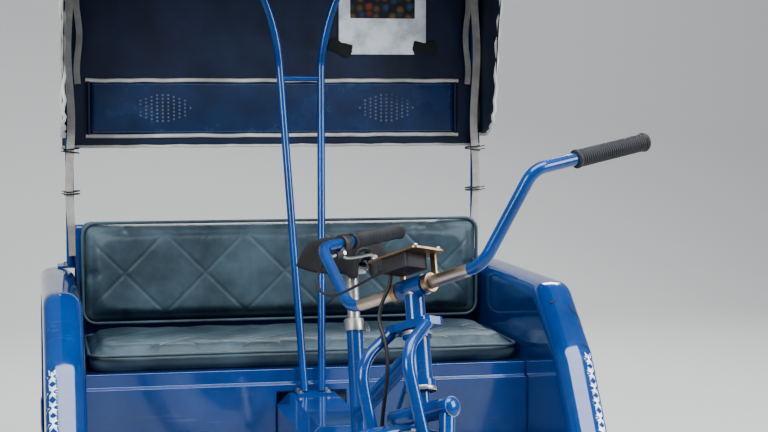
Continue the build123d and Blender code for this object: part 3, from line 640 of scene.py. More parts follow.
def metal(name, colour, roughness, dirt_amount, rust=0.0):
    """Bare or plated metal with fine lines, grime and specks of rust."""
    made = Finish(name, colour, roughness, Metallic=1.0)
    tree = made.tree
    lines = made.use("Brushed Lines", 60.0)[0]
    tone = mixed(tree, spread(tree, lines, 0.3, 0.7), scaled(colour, 0.78), colour)
    spots = made.use("Paint Chips", 90.0, 0.6)[0]
    tone = mixed(tree, times(tree, spots, rust), tone, (0.16, 0.06, 0.025))
    grime = made.use("Cloudy Patches", 22.0, 0.5, 0.72)[0]
    grime = times(tree, grime, dirt_amount)
    made.set(Base_Color=mixed(tree, grime, tone, (0.045, 0.038, 0.03)))
    made.set(Roughness=plus(tree, spread(tree, lines, 0.3, 0.7, roughness, roughness + 0.14),
                            times(tree, grime, 0.45), True))
    made.set(Metallic=sums(tree, "SUBTRACT", 1.0, times(tree, grime, 0.7), True))
    return made.bump(lines, 0.00006, 0.5)


def rubber(name, colour, roughness, dusty, scale=210.0):
    """Rubber or hard plastic with a fine bloom and dust."""
    made = Finish(name, colour, roughness, Specular_IOR_Level=0.4)
    tree = made.tree
    bloom = made.use("Cloudy Patches", 17.0, 0.38, 0.7)[0]
    tone = mixed(tree, bloom, colour, scaled(colour, 1.7, 0.006))
    dirt = made.use("Settled Dust", 0.02, 0.5, dusty)[0]
    made.set(Base_Color=mixed(tree, dirt, tone, DUST))
    made.set(Roughness=spread(tree, bloom, 0.0, 1.0, roughness - 0.08, min(roughness + 0.14, 1.0)))
    return made.bump(cloud(tree, object_place(tree), scale, 4.0, 0.7), 0.00018, 0.55)


def cloth_band(name, colour):
    """Woven webbing with soiled patches."""
    made = Finish(name, colour, 0.78, Sheen_Weight=0.15)
    tree = made.tree
    threads = made.use("Webbing Weave", 170.0)
    tone = mixed(tree, threads["Tone"], scaled(colour, 0.5), colour)
    soil = made.use("Cloudy Patches", 13.0, 0.42, 0.68)[0]
    made.set(Base_Color=mixed(tree, times(tree, soil, 0.5), tone, (0.20, 0.17, 0.13)))
    return made.bump(threads["Height"], 0.0004, 0.8)


def lamp_glass(name, colour, roughness):
    """Clear or coloured lamp cover."""
    made = Finish(name, colour, roughness, Transmission_Weight=0.85, IOR=1.49)
    film = made.use("Cloudy Patches", 30.0, 0.45, 0.75)[0]
    made.set(Roughness=spread(made.tree, film, 0.0, 1.0, roughness, roughness + 0.2))
    return made


def printed_board(name):
    """A board's plain pattern of overlapping discs and bands in muted colours."""
    made = Finish("printed_sheet", (0.2, 0.2, 0.2), 0.5)
    tree = made.tree
    where = object_place(tree)
    cells = add_node(tree, "TexVoronoi", {"Vector": where, "Scale": 44.0, "Randomness": 0.55})
    hue = add_node(tree, "SeparateColor", {0: cells.outputs["Color"]}).outputs[0]
    ramp = add_node(tree, "ValToRGB", {0: hue})
    stops = [(0.0, (0.012, 0.014, 0.03)), (0.3, (0.05, 0.07, 0.05)), (0.5, (0.20, 0.13, 0.05)),
             (0.68, (0.30, 0.06, 0.03)), (0.84, (0.04, 0.10, 0.22)), (1.0, (0.40, 0.34, 0.22))]
    for index, (place, colour) in enumerate(stops):
        stop = ramp.color_ramp.elements[index] if index < 2 else ramp.color_ramp.elements.new(place)
        stop.position = place
        stop.color = (*colour, 1)
    ramp.color_ramp.interpolation = "CONSTANT"
    edge = spread(tree, cells.outputs["Distance"], 0.25, 0.6)
    made.set(Base_Color=mixed(tree, edge, ramp.outputs[0], (0.02, 0.02, 0.03)))
    return made


FINISHES = {
    # kind, colour or the setting that holds it, and what the kind asks for besides
    "moulding": (gel_coat, "moulding", 0.12),
    "paint": (tube_paint, "paint"),
    "fender_paint": (tube_paint, "paint", 0.7),
    "canopy_vinyl": (vinyl, "canopy", 520.0, 0.5, 0.4, 0.10, 0.10),
    "strip_vinyl": (vinyl, (0.002, 0.028, 0.105), 700.0, 0.15, 0.22, 0.03, 0.05),
    "seat_vinyl": (vinyl, "upholstery", 430.0, 0.8, 0.34, 0.10, 0.16),
    "saddle_cover": (vinyl, (0.012, 0.012, 0.013), 500.0, 0.4, 0.42, 0.25, 0.25),
    "piping": (vinyl, "piping", 800.0, 0.5, 0.45, 0.0, 0.0),
    "thread": (cloth_band, (0.5, 0.5, 0.47)),
    "dot": (rubber, (0.13, 0.16, 0.22), 0.5, 0.05),
    "webbing": (cloth_band, "piping"),
    "tyre": (rubber, (0.018, 0.018, 0.018), 0.72, 0.75),
    "whitewall": (rubber, (0.6, 0.59, 0.55), 0.6, 0.35),
    "grip": (rubber, (0.026, 0.028, 0.032), 0.55, 0.1),
    "cable_sheath": (rubber, (0.02, 0.02, 0.022), 0.45, 0.2),
    "tie": (rubber, (0.014, 0.014, 0.015), 0.4, 0.1),
    "case": (rubber, (0.022, 0.023, 0.026), 0.48, 0.3, 480.0),
    "mat": (rubber, (0.03, 0.03, 0.032), 0.8, 0.9),
    "board": (rubber, (0.68, 0.71, 0.74), 0.42, 0.05, 60.0),
    "tape": (rubber, (0.012, 0.012, 0.013), 0.5, 0.1, 120.0),
    "rim_metal": (metal, (0.66, 0.66, 0.65), 0.28, 0.5),
    "spoke_metal": (metal, (0.7, 0.7, 0.69), 0.25, 0.35, 0.3),
    "brass": (metal, (0.62, 0.48, 0.25), 0.32, 0.3),
    "motor": (metal, "motor", 0.42, 0.3, 0.15),
    "steel": (metal, (0.55, 0.55, 0.54), 0.3, 0.5, 0.35),
    "chain_steel": (metal, (0.30, 0.27, 0.24), 0.42, 0.9, 0.6),
    "chrome": (metal, (0.74, 0.74, 0.73), 0.12, 0.25, 0.15),
    "dark_metal": (metal, (0.10, 0.10, 0.105), 0.45, 0.6, 0.4),
    "bronze": (metal, (0.42, 0.30, 0.19), 0.3, 0.4, 0.3),
    "reflective": (rubber, (0.78, 0.82, 0.86), 0.3, 0.1, 700.0),
    "red_lens": (lamp_glass, (0.62, 0.012, 0.01), 0.12),
    "bar_tape": (metal, (0.62, 0.53, 0.45), 0.27, 0.3),
    "print": (printed_board,),
}
MADE = {}


def finish(name):
    """The material of one finish, made the first time it is asked for."""
    if name not in MADE:
        kind, *values = FINISHES[name]
        if values and isinstance(values[0], str):
            values[0] = tuple(getattr(colours(), values[0]))
        MADE[name] = kind(name, *values).material
    return MADE[name]


NODE_FINISHES = { "moulding": ["floor_pan", "seat_box", "rear_panel", "fender_left", "fender_right"],
                 "paint": ["frame_rails", "frame_crossbars", "frame_spine", "down_tube", "top_tube",
                           "head_tube", "seat_tube", "fork", "fork_bows", "handlebar", "canopy_rear_hoop",
                           "canopy_rails", "canopy_bows", "front_post_left", "front_post_right",
                           "post_crossbar", "stem", "plate_holder"], "fender_paint": ["front_fender"],
                 "steel": ["seat_post", "front_axle", "rear_axle", "crankset", "brake_lever"],
                 "chain_steel": ["chain"], "dark_metal": ["drive_drum"], "bronze": ["console_bracket"],
                 "case": ["battery_block", "controller_case", "pedal_left", "pedal_right"],
                 "cable_sheath": ["control_cables"], "red_lens": ["tail_lamps"], }


class RICKSHAW_OT_finishes(bpy.types.Operator):
    """Gives the frame's own parts their finishes"""
    bl_idname = "rickshaw.finishes"
    bl_label = "Finish the Frame"

    def execute(self, context):
        for name, nodes in NODE_FINISHES.items():
            for node in nodes:
                for slot in frame["nodes"][node].material_slots:
                    slot.material = finish(name)
        return {"FINISHED"}


# Wheels


def tyre_shape(place):
    """A tyre with a sidewall, a white ring and a tread of real grooves."""
    shape = Shape()
    middle, tall, wide = WHEEL_RADIUS - 0.0245, 0.0245, TYRE_HALF - 0.0004
    steps = 216
    bead = WHEEL_RADIUS - 0.045
    section = [(bead, -0.0165), (bead + 0.004, -0.0185)]
    section_angles = [-112, -98, -84, -78, -66, -60, -50, -42, -34, -30, -22, -18, -10, -7, 0,
                      7, 10, 18, 22, 30, 34, 42, 50, 60, 66, 78, 84, 98, 112]
    section += [(middle + tall * cos(a), wide * sin(a)) for a in map(radians, section_angles)]
    section += [(bead + 0.004, 0.0185), (bead, 0.0165), (bead + 0.002, 0.009), (bead + 0.002, -0.009)]
    angles = [999] * 2 + section_angles + [999] * 4
    points, faces = turned(section, steps, closed=True)
    size = len(section)
    depth = sizes().tread_depth
    carved = []
    for index, point in enumerate(points):
        step, slot = divmod(index, size)
        angle = angles[slot]
        drop = 0
        if abs(angle) < 58:
            block = (step + int(abs(angle) / 9)) % 6
            if block == 0 and abs(angle) > 12 or abs(angle) in (10, 34) and block < 5:
                drop = depth
        x, y, z = point
        far = hypot(x, y)
        carved.append((x * (far - drop) / far, y * (far - drop) / far, z))
    shape.add((carved, faces), place)
    shape.marks = [1 if angles[index % size] in (-78, 66) else 0 for index in range(len(faces))]
    return shape


WHEEL_KINDS = {
    # flange radius, flange reach and crossing of the spokes in degrees
    "rear": (0.042, 0.023, 55),
    "front": (0.114, 0.015, 14),
}
SPOKES = 36
RIM_INNER = 0.270
RIM_OUTER = 0.2895


def wire_wheel_shape(kind, place, bore):
    """Rim, spokes with their nipples, valve and hub of one wheel."""
    shape = Shape()
    flange, reach, cross = WHEEL_KINDS[kind]
    outer = [(RIM_OUTER, 0.0158), (RIM_OUTER, 0.0135), (RIM_OUTER - 0.0045, 0.0128),
             (RIM_OUTER - 0.006, 0.0075)]
    inner = [(RIM_OUTER - 0.011, -0.0152), (RIM_OUTER - 0.0135, -0.0115), (RIM_INNER, -0.0065)]
    rim = both_sides(outer) + both_sides(inner + [(RIM_INNER - 0.001, 0)])
    shape.add(turned(list(reversed(rim)), 144, closed=True), place)
    for index in range(SPOKES):
        side = 1 if index % 2 else -1
        lean = 1 if (index // 2) % 2 else -1
        angle = tau * index / SPOKES
        hub_angle = angle - lean * radians(cross)
        level = side * (reach + lean * 0.0026)
        start = Vector((flange * cos(hub_angle), flange * sin(hub_angle), level))
        far = RIM_INNER + 0.001
        end = Vector((far * cos(angle), far * sin(angle), side * 0.003))
        shape.rod(place @ start, place @ end, sizes().spoke_radius, 8, 1)
        way = (start - end).normalized()
        shape.rod(place @ end, place @ (end + way * 0.013), 0.0023, 8, 2, end_radius=0.0017)
        elbow = Vector((0, 0, side * 0.0035))
        shape.rod(place @ (start - elbow), place @ (start + elbow), 0.0019, 8, 1)
    valve_angle = tau * 1.5 / SPOKES
    way = Vector((cos(valve_angle), sin(valve_angle), 0))
    shape.rod(place @ (way * RIM_INNER), place @ (way * (RIM_INNER - 0.022)), 0.0032, 10, 2)
    shape.rod(place @ (way * (RIM_INNER - 0.018)), place @ (way * (RIM_INNER - 0.034)), 0.0042, 10, 3)
    if kind == "front":
        hub = [(bore, 0.040), (0.0205, 0.040), (0.022, 0.0385), (0.022, 0.0325), (0.040, 0.0315),
               (0.052, 0.0300), (0.0545, 0.0272), (0.090, 0.0243), (0.0925, 0.0255), (0.1045, 0.0255),
               (0.1065, 0.0236), (0.112, 0.0236), (0.1135, 0.0200), (0.1180, 0.0190), (0.1180, 0.0120),
               (0.1150, 0.0105), (0.1150, 0)]
    else:
        hub = [(bore, 0.034), (0.0225, 0.034), (0.024, 0.0325), (0.024, 0.030), (0.028, 0.0285),
               (0.0445, 0.0280), (0.046, 0.0268), (0.046, 0.0250), (0.0445, 0.0238), (0.030, 0.0220),
               (0.0265, 0.016), (0.025, 0)]
    shape.add(turned(list(reversed(both_sides(hub))), 72, closed=True), place, 4)
    if kind == "front":
        for side in (1, -1):
            for angle in around(12, 0.5):
                foot = Vector((0.0985 * cos(angle), 0.0985 * sin(angle), side * 0.0250))
                head = foot + Vector((0, 0, side * 0.0026))
                shape.rod(place @ foot, place @ head, 0.0034, 12, 1, end_radius=0.0028)
            for angle in around(6):
                inner = Vector((0.057 * cos(angle), 0.057 * sin(angle), side * 0.0268))
                outer = Vector((0.089 * cos(angle), 0.089 * sin(angle), side * 0.0243))
                shape.rod(place @ inner, place @ outer, 0.0018, 6, 4)
    return shape


def make_wheels():
    rows = [("rear_wheel_set_left", "rear", "rear_tyre_left", "rear_wheel_left", 0.0103),
            ("rear_wheel_set_right", "rear", "rear_tyre_right", "rear_wheel_right", 0.0103),
            ("front_wheel_set", "front", "front_tyre", "front_wheel", 0.0073)]
    for body, kind, tyre_node, wheel_node, bore in rows:
        place = WHEEL_PLACES[body]
        piece(tyre_node + "_treaded", tyre_shape(place), ["tyre", "whitewall"], body, [tyre_node],
              50)
        hub_finish = "motor" if kind == "front" else "steel"
        piece(wheel_node + "_laced", wire_wheel_shape(kind, place, bore),
              ["rim_metal", "spoke_metal", "brass", "case", hub_finish], body, [wheel_node],
              32)


class RICKSHAW_OT_wheels(bpy.types.Operator):
    """Makes the three tyres and wire wheels"""
    bl_idname = "rickshaw.wheels"
    bl_label = "Tyres and Wheels"

    def execute(self, context):
        make_wheels()
        return {"FINISHED"}


# Drive


CHAIN_PITCH = 0.0127
FRONT_PITCH_RADIUS = 0.073
REAR_PITCH_RADIUS = 0.0445
CHAIN_X = (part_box("chain")[0].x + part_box("chain")[1].x) / 2


def chain_line():
    """Points one pitch apart round both sprockets, and the way of the chain at each."""
    front = Vector((CRANK.y, CRANK.z))
    rear = Vector((AXLE.y, AXLE.z))
    gap = rear - front
    spread_angle = asin((FRONT_PITCH_RADIUS - REAR_PITCH_RADIUS) / gap.length)
    base = atan2(gap.y, gap.x)
    upper = base + pi / 2 - spread_angle
    lower = base - pi / 2 + spread_angle
    dense = []
    for middle, radius, first, sweep in ((rear, REAR_PITCH_RADIUS, upper, upper - lower),
                                         (front, FRONT_PITCH_RADIUS, lower, tau - (upper - lower))):
        for step in range(401):
            angle = first - sweep * step / 400
            dense.append(middle + radius * Vector((cos(angle), sin(angle))))
    dense.append(dense[0])
    lengths = [0.0]
    for before, after in zip(dense, dense[1:]):
        lengths.append(lengths[-1] + (after - before).length)
    count = 2 * round(lengths[-1] / CHAIN_PITCH / 2)
    places = []
    at = 0
    for index in range(count):
        want = lengths[-1] * index / count
        while lengths[at + 1] < want:
            at += 1
        share = (want - lengths[at]) / (lengths[at + 1] - lengths[at])
        places.append(dense[at].lerp(dense[at + 1], share))
    return places


def link_outline(length, wide, waist):
    """Outline of one chain plate, along X from 0 to the pitch."""
    outline = []
    for centre, start in ((length, -90), (0, 90)):
        for step in range(7):
            angle = radians(start + 30 * step)
            outline.append((centre + wide * cos(angle), wide * sin(angle)))
        outline.append((length / 2, waist if centre else -waist))
    return outline


def tooth_outline(teeth, radius, root, tip):
    outline = []
    for index in range(teeth):
        for share, out in ((0.0, root), (0.28, root), (0.42, tip), (0.58, tip), (0.72, root)):
            angle = tau * (index + share) / teeth
            outline.append(((radius + out) * cos(angle), (radius + out) * sin(angle)))
    return outline


def tooth_ring(teeth, radius, inner, thickness):
    """A toothed ring about Z, open in the middle."""
    outline = tooth_outline(teeth, radius, -0.0046, 0.0022)
    count = len(outline)
    points, faces = [], []
    for z in (-thickness / 2, thickness / 2):
        points += [(x, y, z) for x, y in outline]
        points += [(inner * x / hypot(x, y), inner * y / hypot(x, y), z) for x, y in outline]
    for i in range(count):
        j = (i + 1) % count
        a, b = 2 * count, 3 * count
        faces += [[i, count + i, count + j, j], [a + i, a + j, b + j, b + i], [i, j, a + j, a + i],
                  [count + j, count + i, b + i, b + j]]
    return points, faces


def make_drive():
    places = chain_line()
    shape = Shape()
    for index, here in enumerate(places):
        after = places[(index + 1) % len(places)]
        way = Vector((0, after.x - here.x, after.y - here.y))
        reach = 0.0034 if index % 2 else 0.0023
        place = axes_at(Vector((CHAIN_X, here.x, here.y)), way, X_WAY)
        outline = link_outline(way.length, 0.0040, 0.0029)
        for side in (-1, 1):
            low, high = sorted((side * reach, side * (reach + 0.001)))
            shape.add(slab(outline, low, high), place)
        roller = [(0, -0.0046), (0.0021, -0.0046), (0.0021, -0.0022), (0.0037, -0.0022), (0.0037, 0.0022),
                  (0.0021, 0.0022), (0.0021, 0.0046), (0, 0.0046)]
        shape.add(turned(roller, 10), place)
    piece("chain_links", shape, ["chain_steel"], "root", ["chain"], 40)
    ring = Shape().add(tooth_ring(36, FRONT_PITCH_RADIUS, 0.0655, 0.0022),
                       axes_at(Vector((CHAIN_X, CRANK.y, CRANK.z)), Y_WAY, X_WAY))
    for angle in around(5, 0.5):
        foot = Vector((CHAIN_X, CRANK.y + 0.058 * cos(angle), CRANK.z + 0.058 * sin(angle)))
        ring.rod(foot - X_WAY * 0.006, foot + X_WAY * 0.005, 0.0045, 6)
    piece("chainring_teeth", ring, ["steel"], "crank")
    rear = Shape().add(tooth_ring(22, REAR_PITCH_RADIUS, 0.038, 0.0022),
                       axes_at(Vector((CHAIN_X, AXLE.y, AXLE.z)), Y_WAY, X_WAY))
    piece("sprocket_teeth", rear, ["chain_steel"], "root")
    for side, body in (("left", "pedal_left_set"), ("right", "pedal_right_set")):
        low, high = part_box("pedal_" + side)
        treads = Shape()
        centre = (low + high) / 2
        for up in (-1, 1):
            level = centre.z + up * (high.z - low.z) / 2
            for row in (-1, 1):
                for index in range(9):
                    x = low.x + 0.009 + index * (high.x - low.x - 0.018) / 8
                    stud = axes_at(Vector((x, centre.y + row * 0.031, level)), X_WAY, Z_WAY)
                    treads.add(soft_block((0.005, 0.014, 0.004), 0.001, 1), stud)
        piece("pedal_treads_" + side, treads, ["grip"], body)
        glow = Shape()
        for row in (-1, 1):
            y = centre.y + row * (high.y - low.y) / 2
            face = axes_at(Vector((centre.x, y, centre.z)), X_WAY, Vector((0, row, 0)))
            glow.add(soft_block((0.062, 0.012, 0.003), 0.001, 2), face)
        piece("pedal_reflectors_" + side, glow, ["red_lens"], body)


class RICKSHAW_OT_drive(bpy.types.Operator):
    """Makes the chain's links, the sprockets' teeth and the pedals' treads"""
    bl_idname = "rickshaw.drive"
    bl_label = "Chain and Pedals"

    def execute(self, context):
        make_drive()
        return {"FINISHED"}


# Moulded body


def smooth_outline(corners, steps=7):
    """A closed outline with each corner turned in an arc. A corner is across, up and radius."""
    outline = []
    size = len(corners)
    for index, (x, y, radius) in enumerate(corners):
        here = Vector((x, y))
        before = Vector(corners[index - 1][:2]) - here
        after = Vector(corners[(index + 1) % size][:2]) - here
        half = before.angle(after) / 2
        reach = min(radius / tan(half), before.length * 0.49, after.length * 0.49)
        real = reach * tan(half)
        middle = here + (before.normalized() + after.normalized()).normalized() * (real / sin(half))
        start = here + before.normalized() * reach - middle
        end = here + after.normalized() * reach - middle
        swing = atan2(start.x * end.y - start.y * end.x, start.dot(end))
        for step in range(steps + 1):
            angle = swing * step / steps
            turn = Matrix.Rotation(angle, 2)
            outline.append(middle + turn @ start)
    return outline


def evenly(outline, gap):
    """The closed outline with points added where two lie further apart than the gap."""
    filled = []
    for index, here in enumerate(outline):
        after = outline[(index + 1) % len(outline)]
        count = max(1, ceil((after - here).length / gap))
        filled += [here.lerp(after, step / count) for step in range(count)]
    return filled


# distance behind the axle, height and radius of each corner of a fender's side
FENDER_CORNERS = [
    (-0.880, 0.263, 0.020), (-0.720, 0.430, 0.300), (-0.590, 0.615, 0.160), (-0.405, FENDER_TOP, 0.085),
    (0.240, FENDER_TOP, 0.070), (0.372, 0.640, 0.090), (0.398, 0.520, 0.120), (0.398, 0.300, 0.030),
    (0.300, FLOOR_LOW, 0.010), (-0.905, FLOOR_LOW, 0.010),
]
ARCH_RADIUS = WHEEL_RADIUS + 0.042


def fender_outline():
    """The fender's side outline, in order from low in front, over the top, to low behind and back."""
    return evenly(smooth_outline(FENDER_CORNERS), 0.016)


def inset(outline, share):
    """The outline drawn in by a distance, each point along its own inward way."""
    moved = []
    size = len(outline)
    for index, here in enumerate(outline):
        way = (outline[(index + 1) % size] - outline[index - 1]).normalized()
        moved.append(here + Vector((way.y, -way.x)) * share)
    return moved


def fender_shape():
    """The left fender as a thin moulded shell, open below and at the wheel's arch."""
    outline = fender_outline()
    size = len(outline)
    radius = sizes().fender_round
    inner = 1.5 * radius
    ring_steps = 6
    corner = []
    for step in range(ring_steps + 1):
        angle = pi / 2 * step / ring_steps
        corner.append((1 - sin(angle), 1 - cos(angle)))
    # across and inset of each ring of the section, from the inner wall to the outer one
    rings = [(INNER_WALL + inner * across, inner * drawn) for across, drawn in reversed(corner)]
    crown = OUTER_WALL - INNER_WALL - inner - radius
    for step in range(1, 6):
        rings.append((INNER_WALL + inner + crown * step / 6, -0.0012 * sin(pi * step / 6)))
    rings += [(OUTER_WALL - radius * across, radius * drawn) for across, drawn in corner]
    points, faces = [], []
    for x, drawn in rings:
        for here in inset(outline, drawn):
            points.append((x, AXLE.y + here.x, max(here.y, FLOOR_LOW)))
    open_low = {index for index, here in enumerate(outline) if here.y < FLOOR_LOW + 0.0015}

    def band(a, everywhere=True):
        """Faces from the ring of points that starts at a to the next ring, open below."""
        for i in range(size):
            j = (i + 1) % size
            if i in open_low and j in open_low and (everywhere or abs(wall[i][0] - AXLE.y) < ARCH_RADIUS):
                continue
            faces.append([a + i, a + size + i, a + size + j, a + j])

    for ring in range(len(rings) - 1):
        band(ring * size)
    faces.append(list(range(size)))
    # outer wall between the last ring and the arch
    last = (len(rings) - 1) * size
    wall = []
    for index in range(size):
        x, y, z = points[last + index]
        away = Vector((y - AXLE.y, z - AXLE.z))
        angle = atan2(away.y, away.x)
        limit = asin((AXLE.z - FLOOR_LOW) / ARCH_RADIUS)
        if angle < -limit:
            angle = -limit if angle > -pi / 2 else pi + limit
        wall.append((y, z, AXLE.y + ARCH_RADIUS * cos(angle), AXLE.z + ARCH_RADIUS * sin(angle)))
    levels = 4
    for level in range(1, levels + 1):
        share = level / levels
        points += [(OUTER_WALL, y + (ay - y) * share, z + (az - z) * share) for y, z, ay, az in wall]
    for level in range(levels):
        band(last + level * size, False)
    # lip round the arch
    points += [(OUTER_WALL - 0.016, ay, az) for y, z, ay, az in wall]
    band(last + levels * size)
    return Shape().add((points, faces))


def fender_surface(outline, at, across, out=0.0004):
    """A point on the fender's face. At is the distance along the outline from low in front."""
    total = 0.0
    for index in range(len(outline) - 1):
        here, after = outline[index], outline[index + 1]
        length = (after - here).length
        if total + length >= at:
            break
        total += length
    way = (after - here).normalized()
    base = here + way * (at - total)
    outward = Vector((-way.y, way.x))
    radius = sizes().fender_round
    flat_end = OUTER_WALL - radius
    if across <= flat_end - INNER_WALL:
        x, drawn, side = INNER_WALL + across, 0.0, 0.0
    else:
        angle = min((across - (flat_end - INNER_WALL)) / radius, pi / 2)
        x = flat_end + radius * sin(angle)
        drawn = radius * (1 - cos(angle))
        side = angle
    place = base - outward * drawn + outward * out * cos(side)
    return Vector((x + out * sin(side), AXLE.y + place.x, place.y))


def body_piece(name, shape, node):
    made = piece(name, shape, ["moulding"], "root", [node], 40)
    thicken(made, 0.004, -1)
    modifier(made, "WEIGHTED_NORMAL", keep_sharp=True)
    return made


def rounded_edges(node, width):
    """Rounds the edges of one of the frame's own moulded panels."""
    made = frame["nodes"][node]
    modifier(made, "WELD", merge_threshold=0.00005)
    modifier(made, "BEVEL", width=width, segments=3, limit_method="ANGLE", angle_limit=radians(50),
             harden_normals=True, use_clamp_overlap=True)


def make_mats():
    """Ribbed rubber mats in both footwells."""
    low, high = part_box("floor_pan")
    hump = 0.085
    for side, name in ((1, "left"), (-1, "right")):
        shape = Shape()
        x_low, x_high = hump + 0.02, INNER_WALL - 0.02
        y_low, y_high = low.y + 0.03, high.y - 0.02
        centre = Vector((side * (x_low + x_high) / 2, (y_low + y_high) / 2, FLOOR_TOP + 0.0015))
        flat = Matrix.Translation(centre)
        outline = rounded(x_high - x_low, y_high - y_low, 0.02)
        shape.add(slab(outline, -0.0015, 0.0015), flat)
        count = 22
        for index in range(count):
            y = (index + 0.5) / count * (y_high - y_low - 0.04) - (y_high - y_low - 0.04) / 2
            rib = Matrix.Translation(centre + Vector((0, y, 0.0024)))
            shape.add(soft_block((x_high - x_low - 0.04, 0.006, 0.003), 0.0012, 1), rib)
        piece("floor_mat_" + name, shape, ["mat"], "root")


def make_body():
    left = fender_shape()
    body_piece("fender_shell_left", left, "fender_left")
    body_piece("fender_shell_right", left.mirrored(), "fender_right")
    for node, width in (("seat_box", 0.004), ("rear_panel", 0.0022), ("floor_pan", 0.002)):
        rounded_edges(node, width)
    tape = Shape()
    outline = fender_outline()
    chance = random.Random(sizes().seed)
    first = 0.136
    across = 0.076
    for index in range(9):
        middle = first + index * 0.038
        jag = []
        for step, angle in enumerate(around(16)):
            reach = (0.0205 if step % 2 else 0.0105) * chance.uniform(0.85, 1.15)
            jag.append((middle + reach * cos(angle), across + reach * 1.1 * sin(angle)))
        middle_point = fender_surface(outline, middle, across)
        rim = [fender_surface(outline, a, c) for a, c in jag]
        tape.add(([middle_point] + rim, [[0, i + 1, (i + 1) % 16 + 1] for i in range(16)]))
    for name, shape in (("fender_tape_left", tape), ("fender_tape_right", tape.mirrored())):
        made = piece(name, shape, ["reflective"], "root", (), 60)
        thicken(made, 0.0005, 1)
    # Dark lines on the fender's face: painted reflection and painted dent shade along a soft crease that the
    # shell doesn't model.
    painted_reflection_lines = Shape()
    rows = [
        # distance along the outline and across the face of each point of one dark line of painted reflection
        # and dent shade
        [(0.624, 0.022), (0.632, 0.046), (0.624, 0.062), (0.590, 0.074), (0.578, 0.092), (0.548, 0.100)],
        [(0.492, 0.058), (0.480, 0.070), (0.472, 0.084), (0.460, 0.098)],
    ]
    for row in rows:
        line = curved([(a, c, 0) for a, c in row], 5)
        for a, b in zip(line, line[1:]):
            way = (b - a).normalized() * 0.0022
            corners = [(a.x - way.y, a.y + way.x), (a.x + way.y, a.y - way.x), (b.x + way.y, b.y - way.x),
                       (b.x - way.y, b.y + way.x)]
            painted_reflection_lines.add(([fender_surface(outline, p, q, 0.0002) for p, q in corners], [[0, 1, 2, 3]]))
    piece("fender_scuffs", painted_reflection_lines, ["tape"], "root", (), 60)
    make_mats()


class RICKSHAW_OT_body(bpy.types.Operator):
    """Makes the moulded fenders, their tape, painted reflection lines and edging, and the floor's mat"""
    bl_idname = "rickshaw.body"
    bl_label = "Moulded Body"

    def execute(self, context):
        make_body()
        return {"FINISHED"}


# Upholstery


def swollen(name, low, high, corner, ways, swell, cap):
    """A cushion blown up by a cloth simulation from a slightly smaller block."""
    centre = (low + high) / 2
    size = high - low
    made = bmesh.new()
    bmesh.ops.create_cube(made, size=1.0, matrix=Matrix.Translation(centre) @ Matrix.Diagonal((*size, 1)))
    bmesh.ops.bevel(made, geom=list(made.edges), offset=corner, segments=4, profile=0.5, affect="EDGES")
    mesh = bpy.data.meshes.new(name)
    made.to_mesh(mesh)
    made.free()
    cushion = placed(name, mesh)
    context = bpy.context
    modifier(cushion, "REMESH", mode="VOXEL", voxel_size=0.0072, use_smooth_shade=True)
    settle(cushion)
    before = [v.co.copy() for v in cushion.data.vertices]
    cloth = modifier(cushion, "CLOTH")
    cloth.settings.quality = 4
    cloth.settings.mass = 0.4
    cloth.settings.tension_stiffness = 22
    cloth.settings.compression_stiffness = 22
    cloth.settings.bending_stiffness = 1.2
    cloth.settings.use_pressure = True
    cloth.settings.uniform_pressure_force = swell
    cloth.settings.effector_weights.gravity = 0
    cloth.point_cache.frame_start = 1
    cloth.point_cache.frame_end = 20
    for number in range(1, 21):
        context.scene.frame_set(number)
    graph = context.evaluated_depsgraph_get()
    after = [v.co.copy() for v in cushion.evaluated_get(graph).data.vertices]
    context.scene.frame_set(1)
    cushion.modifiers.clear()
    for vertex, old, new in zip(cushion.data.vertices, before, after):
        step = new - old
        if step.length > cap:
            step = step.normalized() * cap
        vertex.co = old + Vector((step.x * ways[0], step.y * ways[1], step.z * ways[2]))
    return cushion


def seam_gap(a, b, pitch):
    """Distance of a point from the nearest diamond seam, on a face whose places are a and b."""
    best = 1.0
    for value in ((a + b) / sqrt(2), (a - b) / sqrt(2)):
        best = min(best, abs(value - pitch * floor(value / pitch + 0.5)))
    return best


def sew(cushion, face, centre, pitch, extent, depth):
    """Pulls diamond seams into the face that looks along the given way, and a welt round its border."""
    way = Vector(face)
    normals = [v.normal.copy() for v in cushion.data.vertices]
    for vertex, normal in zip(cushion.data.vertices, normals):
        facing = normal.dot(way)
        if facing < 0.25:
            continue
        a = vertex.co.x - centre.x
        b = (vertex.co - centre).dot(Vector((0, way.z, -way.y)))
        border = min(extent[0] - abs(a), extent[1] - abs(b))
        gap = seam_gap(a, b, pitch)
        inside = min(max(border / 0.02, 0.0), 1.0)
        groove = exp(-(gap / 0.0034) ** 2)
        pillow = 1 - exp(-(gap / 0.03) ** 2)
        wrinkle = noise.noise(vertex.co * 21.0) * 0.0011 + noise.noise(vertex.co * 55.0) * 0.0005
        welt = exp(-(border / 0.006) ** 2)
        move = inside * (pillow * 0.0022 - groove * depth) - welt * depth * 0.7 + wrinkle
        vertex.co += way * (move * min(facing * 1.3, 1.0))


def make_welt(node, low, high, way):
    """The corded seam round a cushion's front or top edge."""
    centre = (low + high) / 2
    width = high.x - low.x - 0.020
    tall = (high.y - low.y if way.z else high.z - low.z) - 0.018
    outline = rounded(width, tall, 0.034, 8)
    path = []
    for a, b in evenly([Vector(p) for p in outline], 0.03):
        wander = uneven(0.0012, a * 9, b * 9, 2.0)
        if way.z:
            path.append((centre.x + a, centre.y + b, high.z - 0.017 + wander))
        else:
            path.append((centre.x + a, low.y + 0.021 + wander, centre.z + b))
    shape = Shape().add(tube(path, 0.0042, 8, closed=True))
    piece(node + "_welt", shape, ["seat_vinyl"], "root", (), 70)


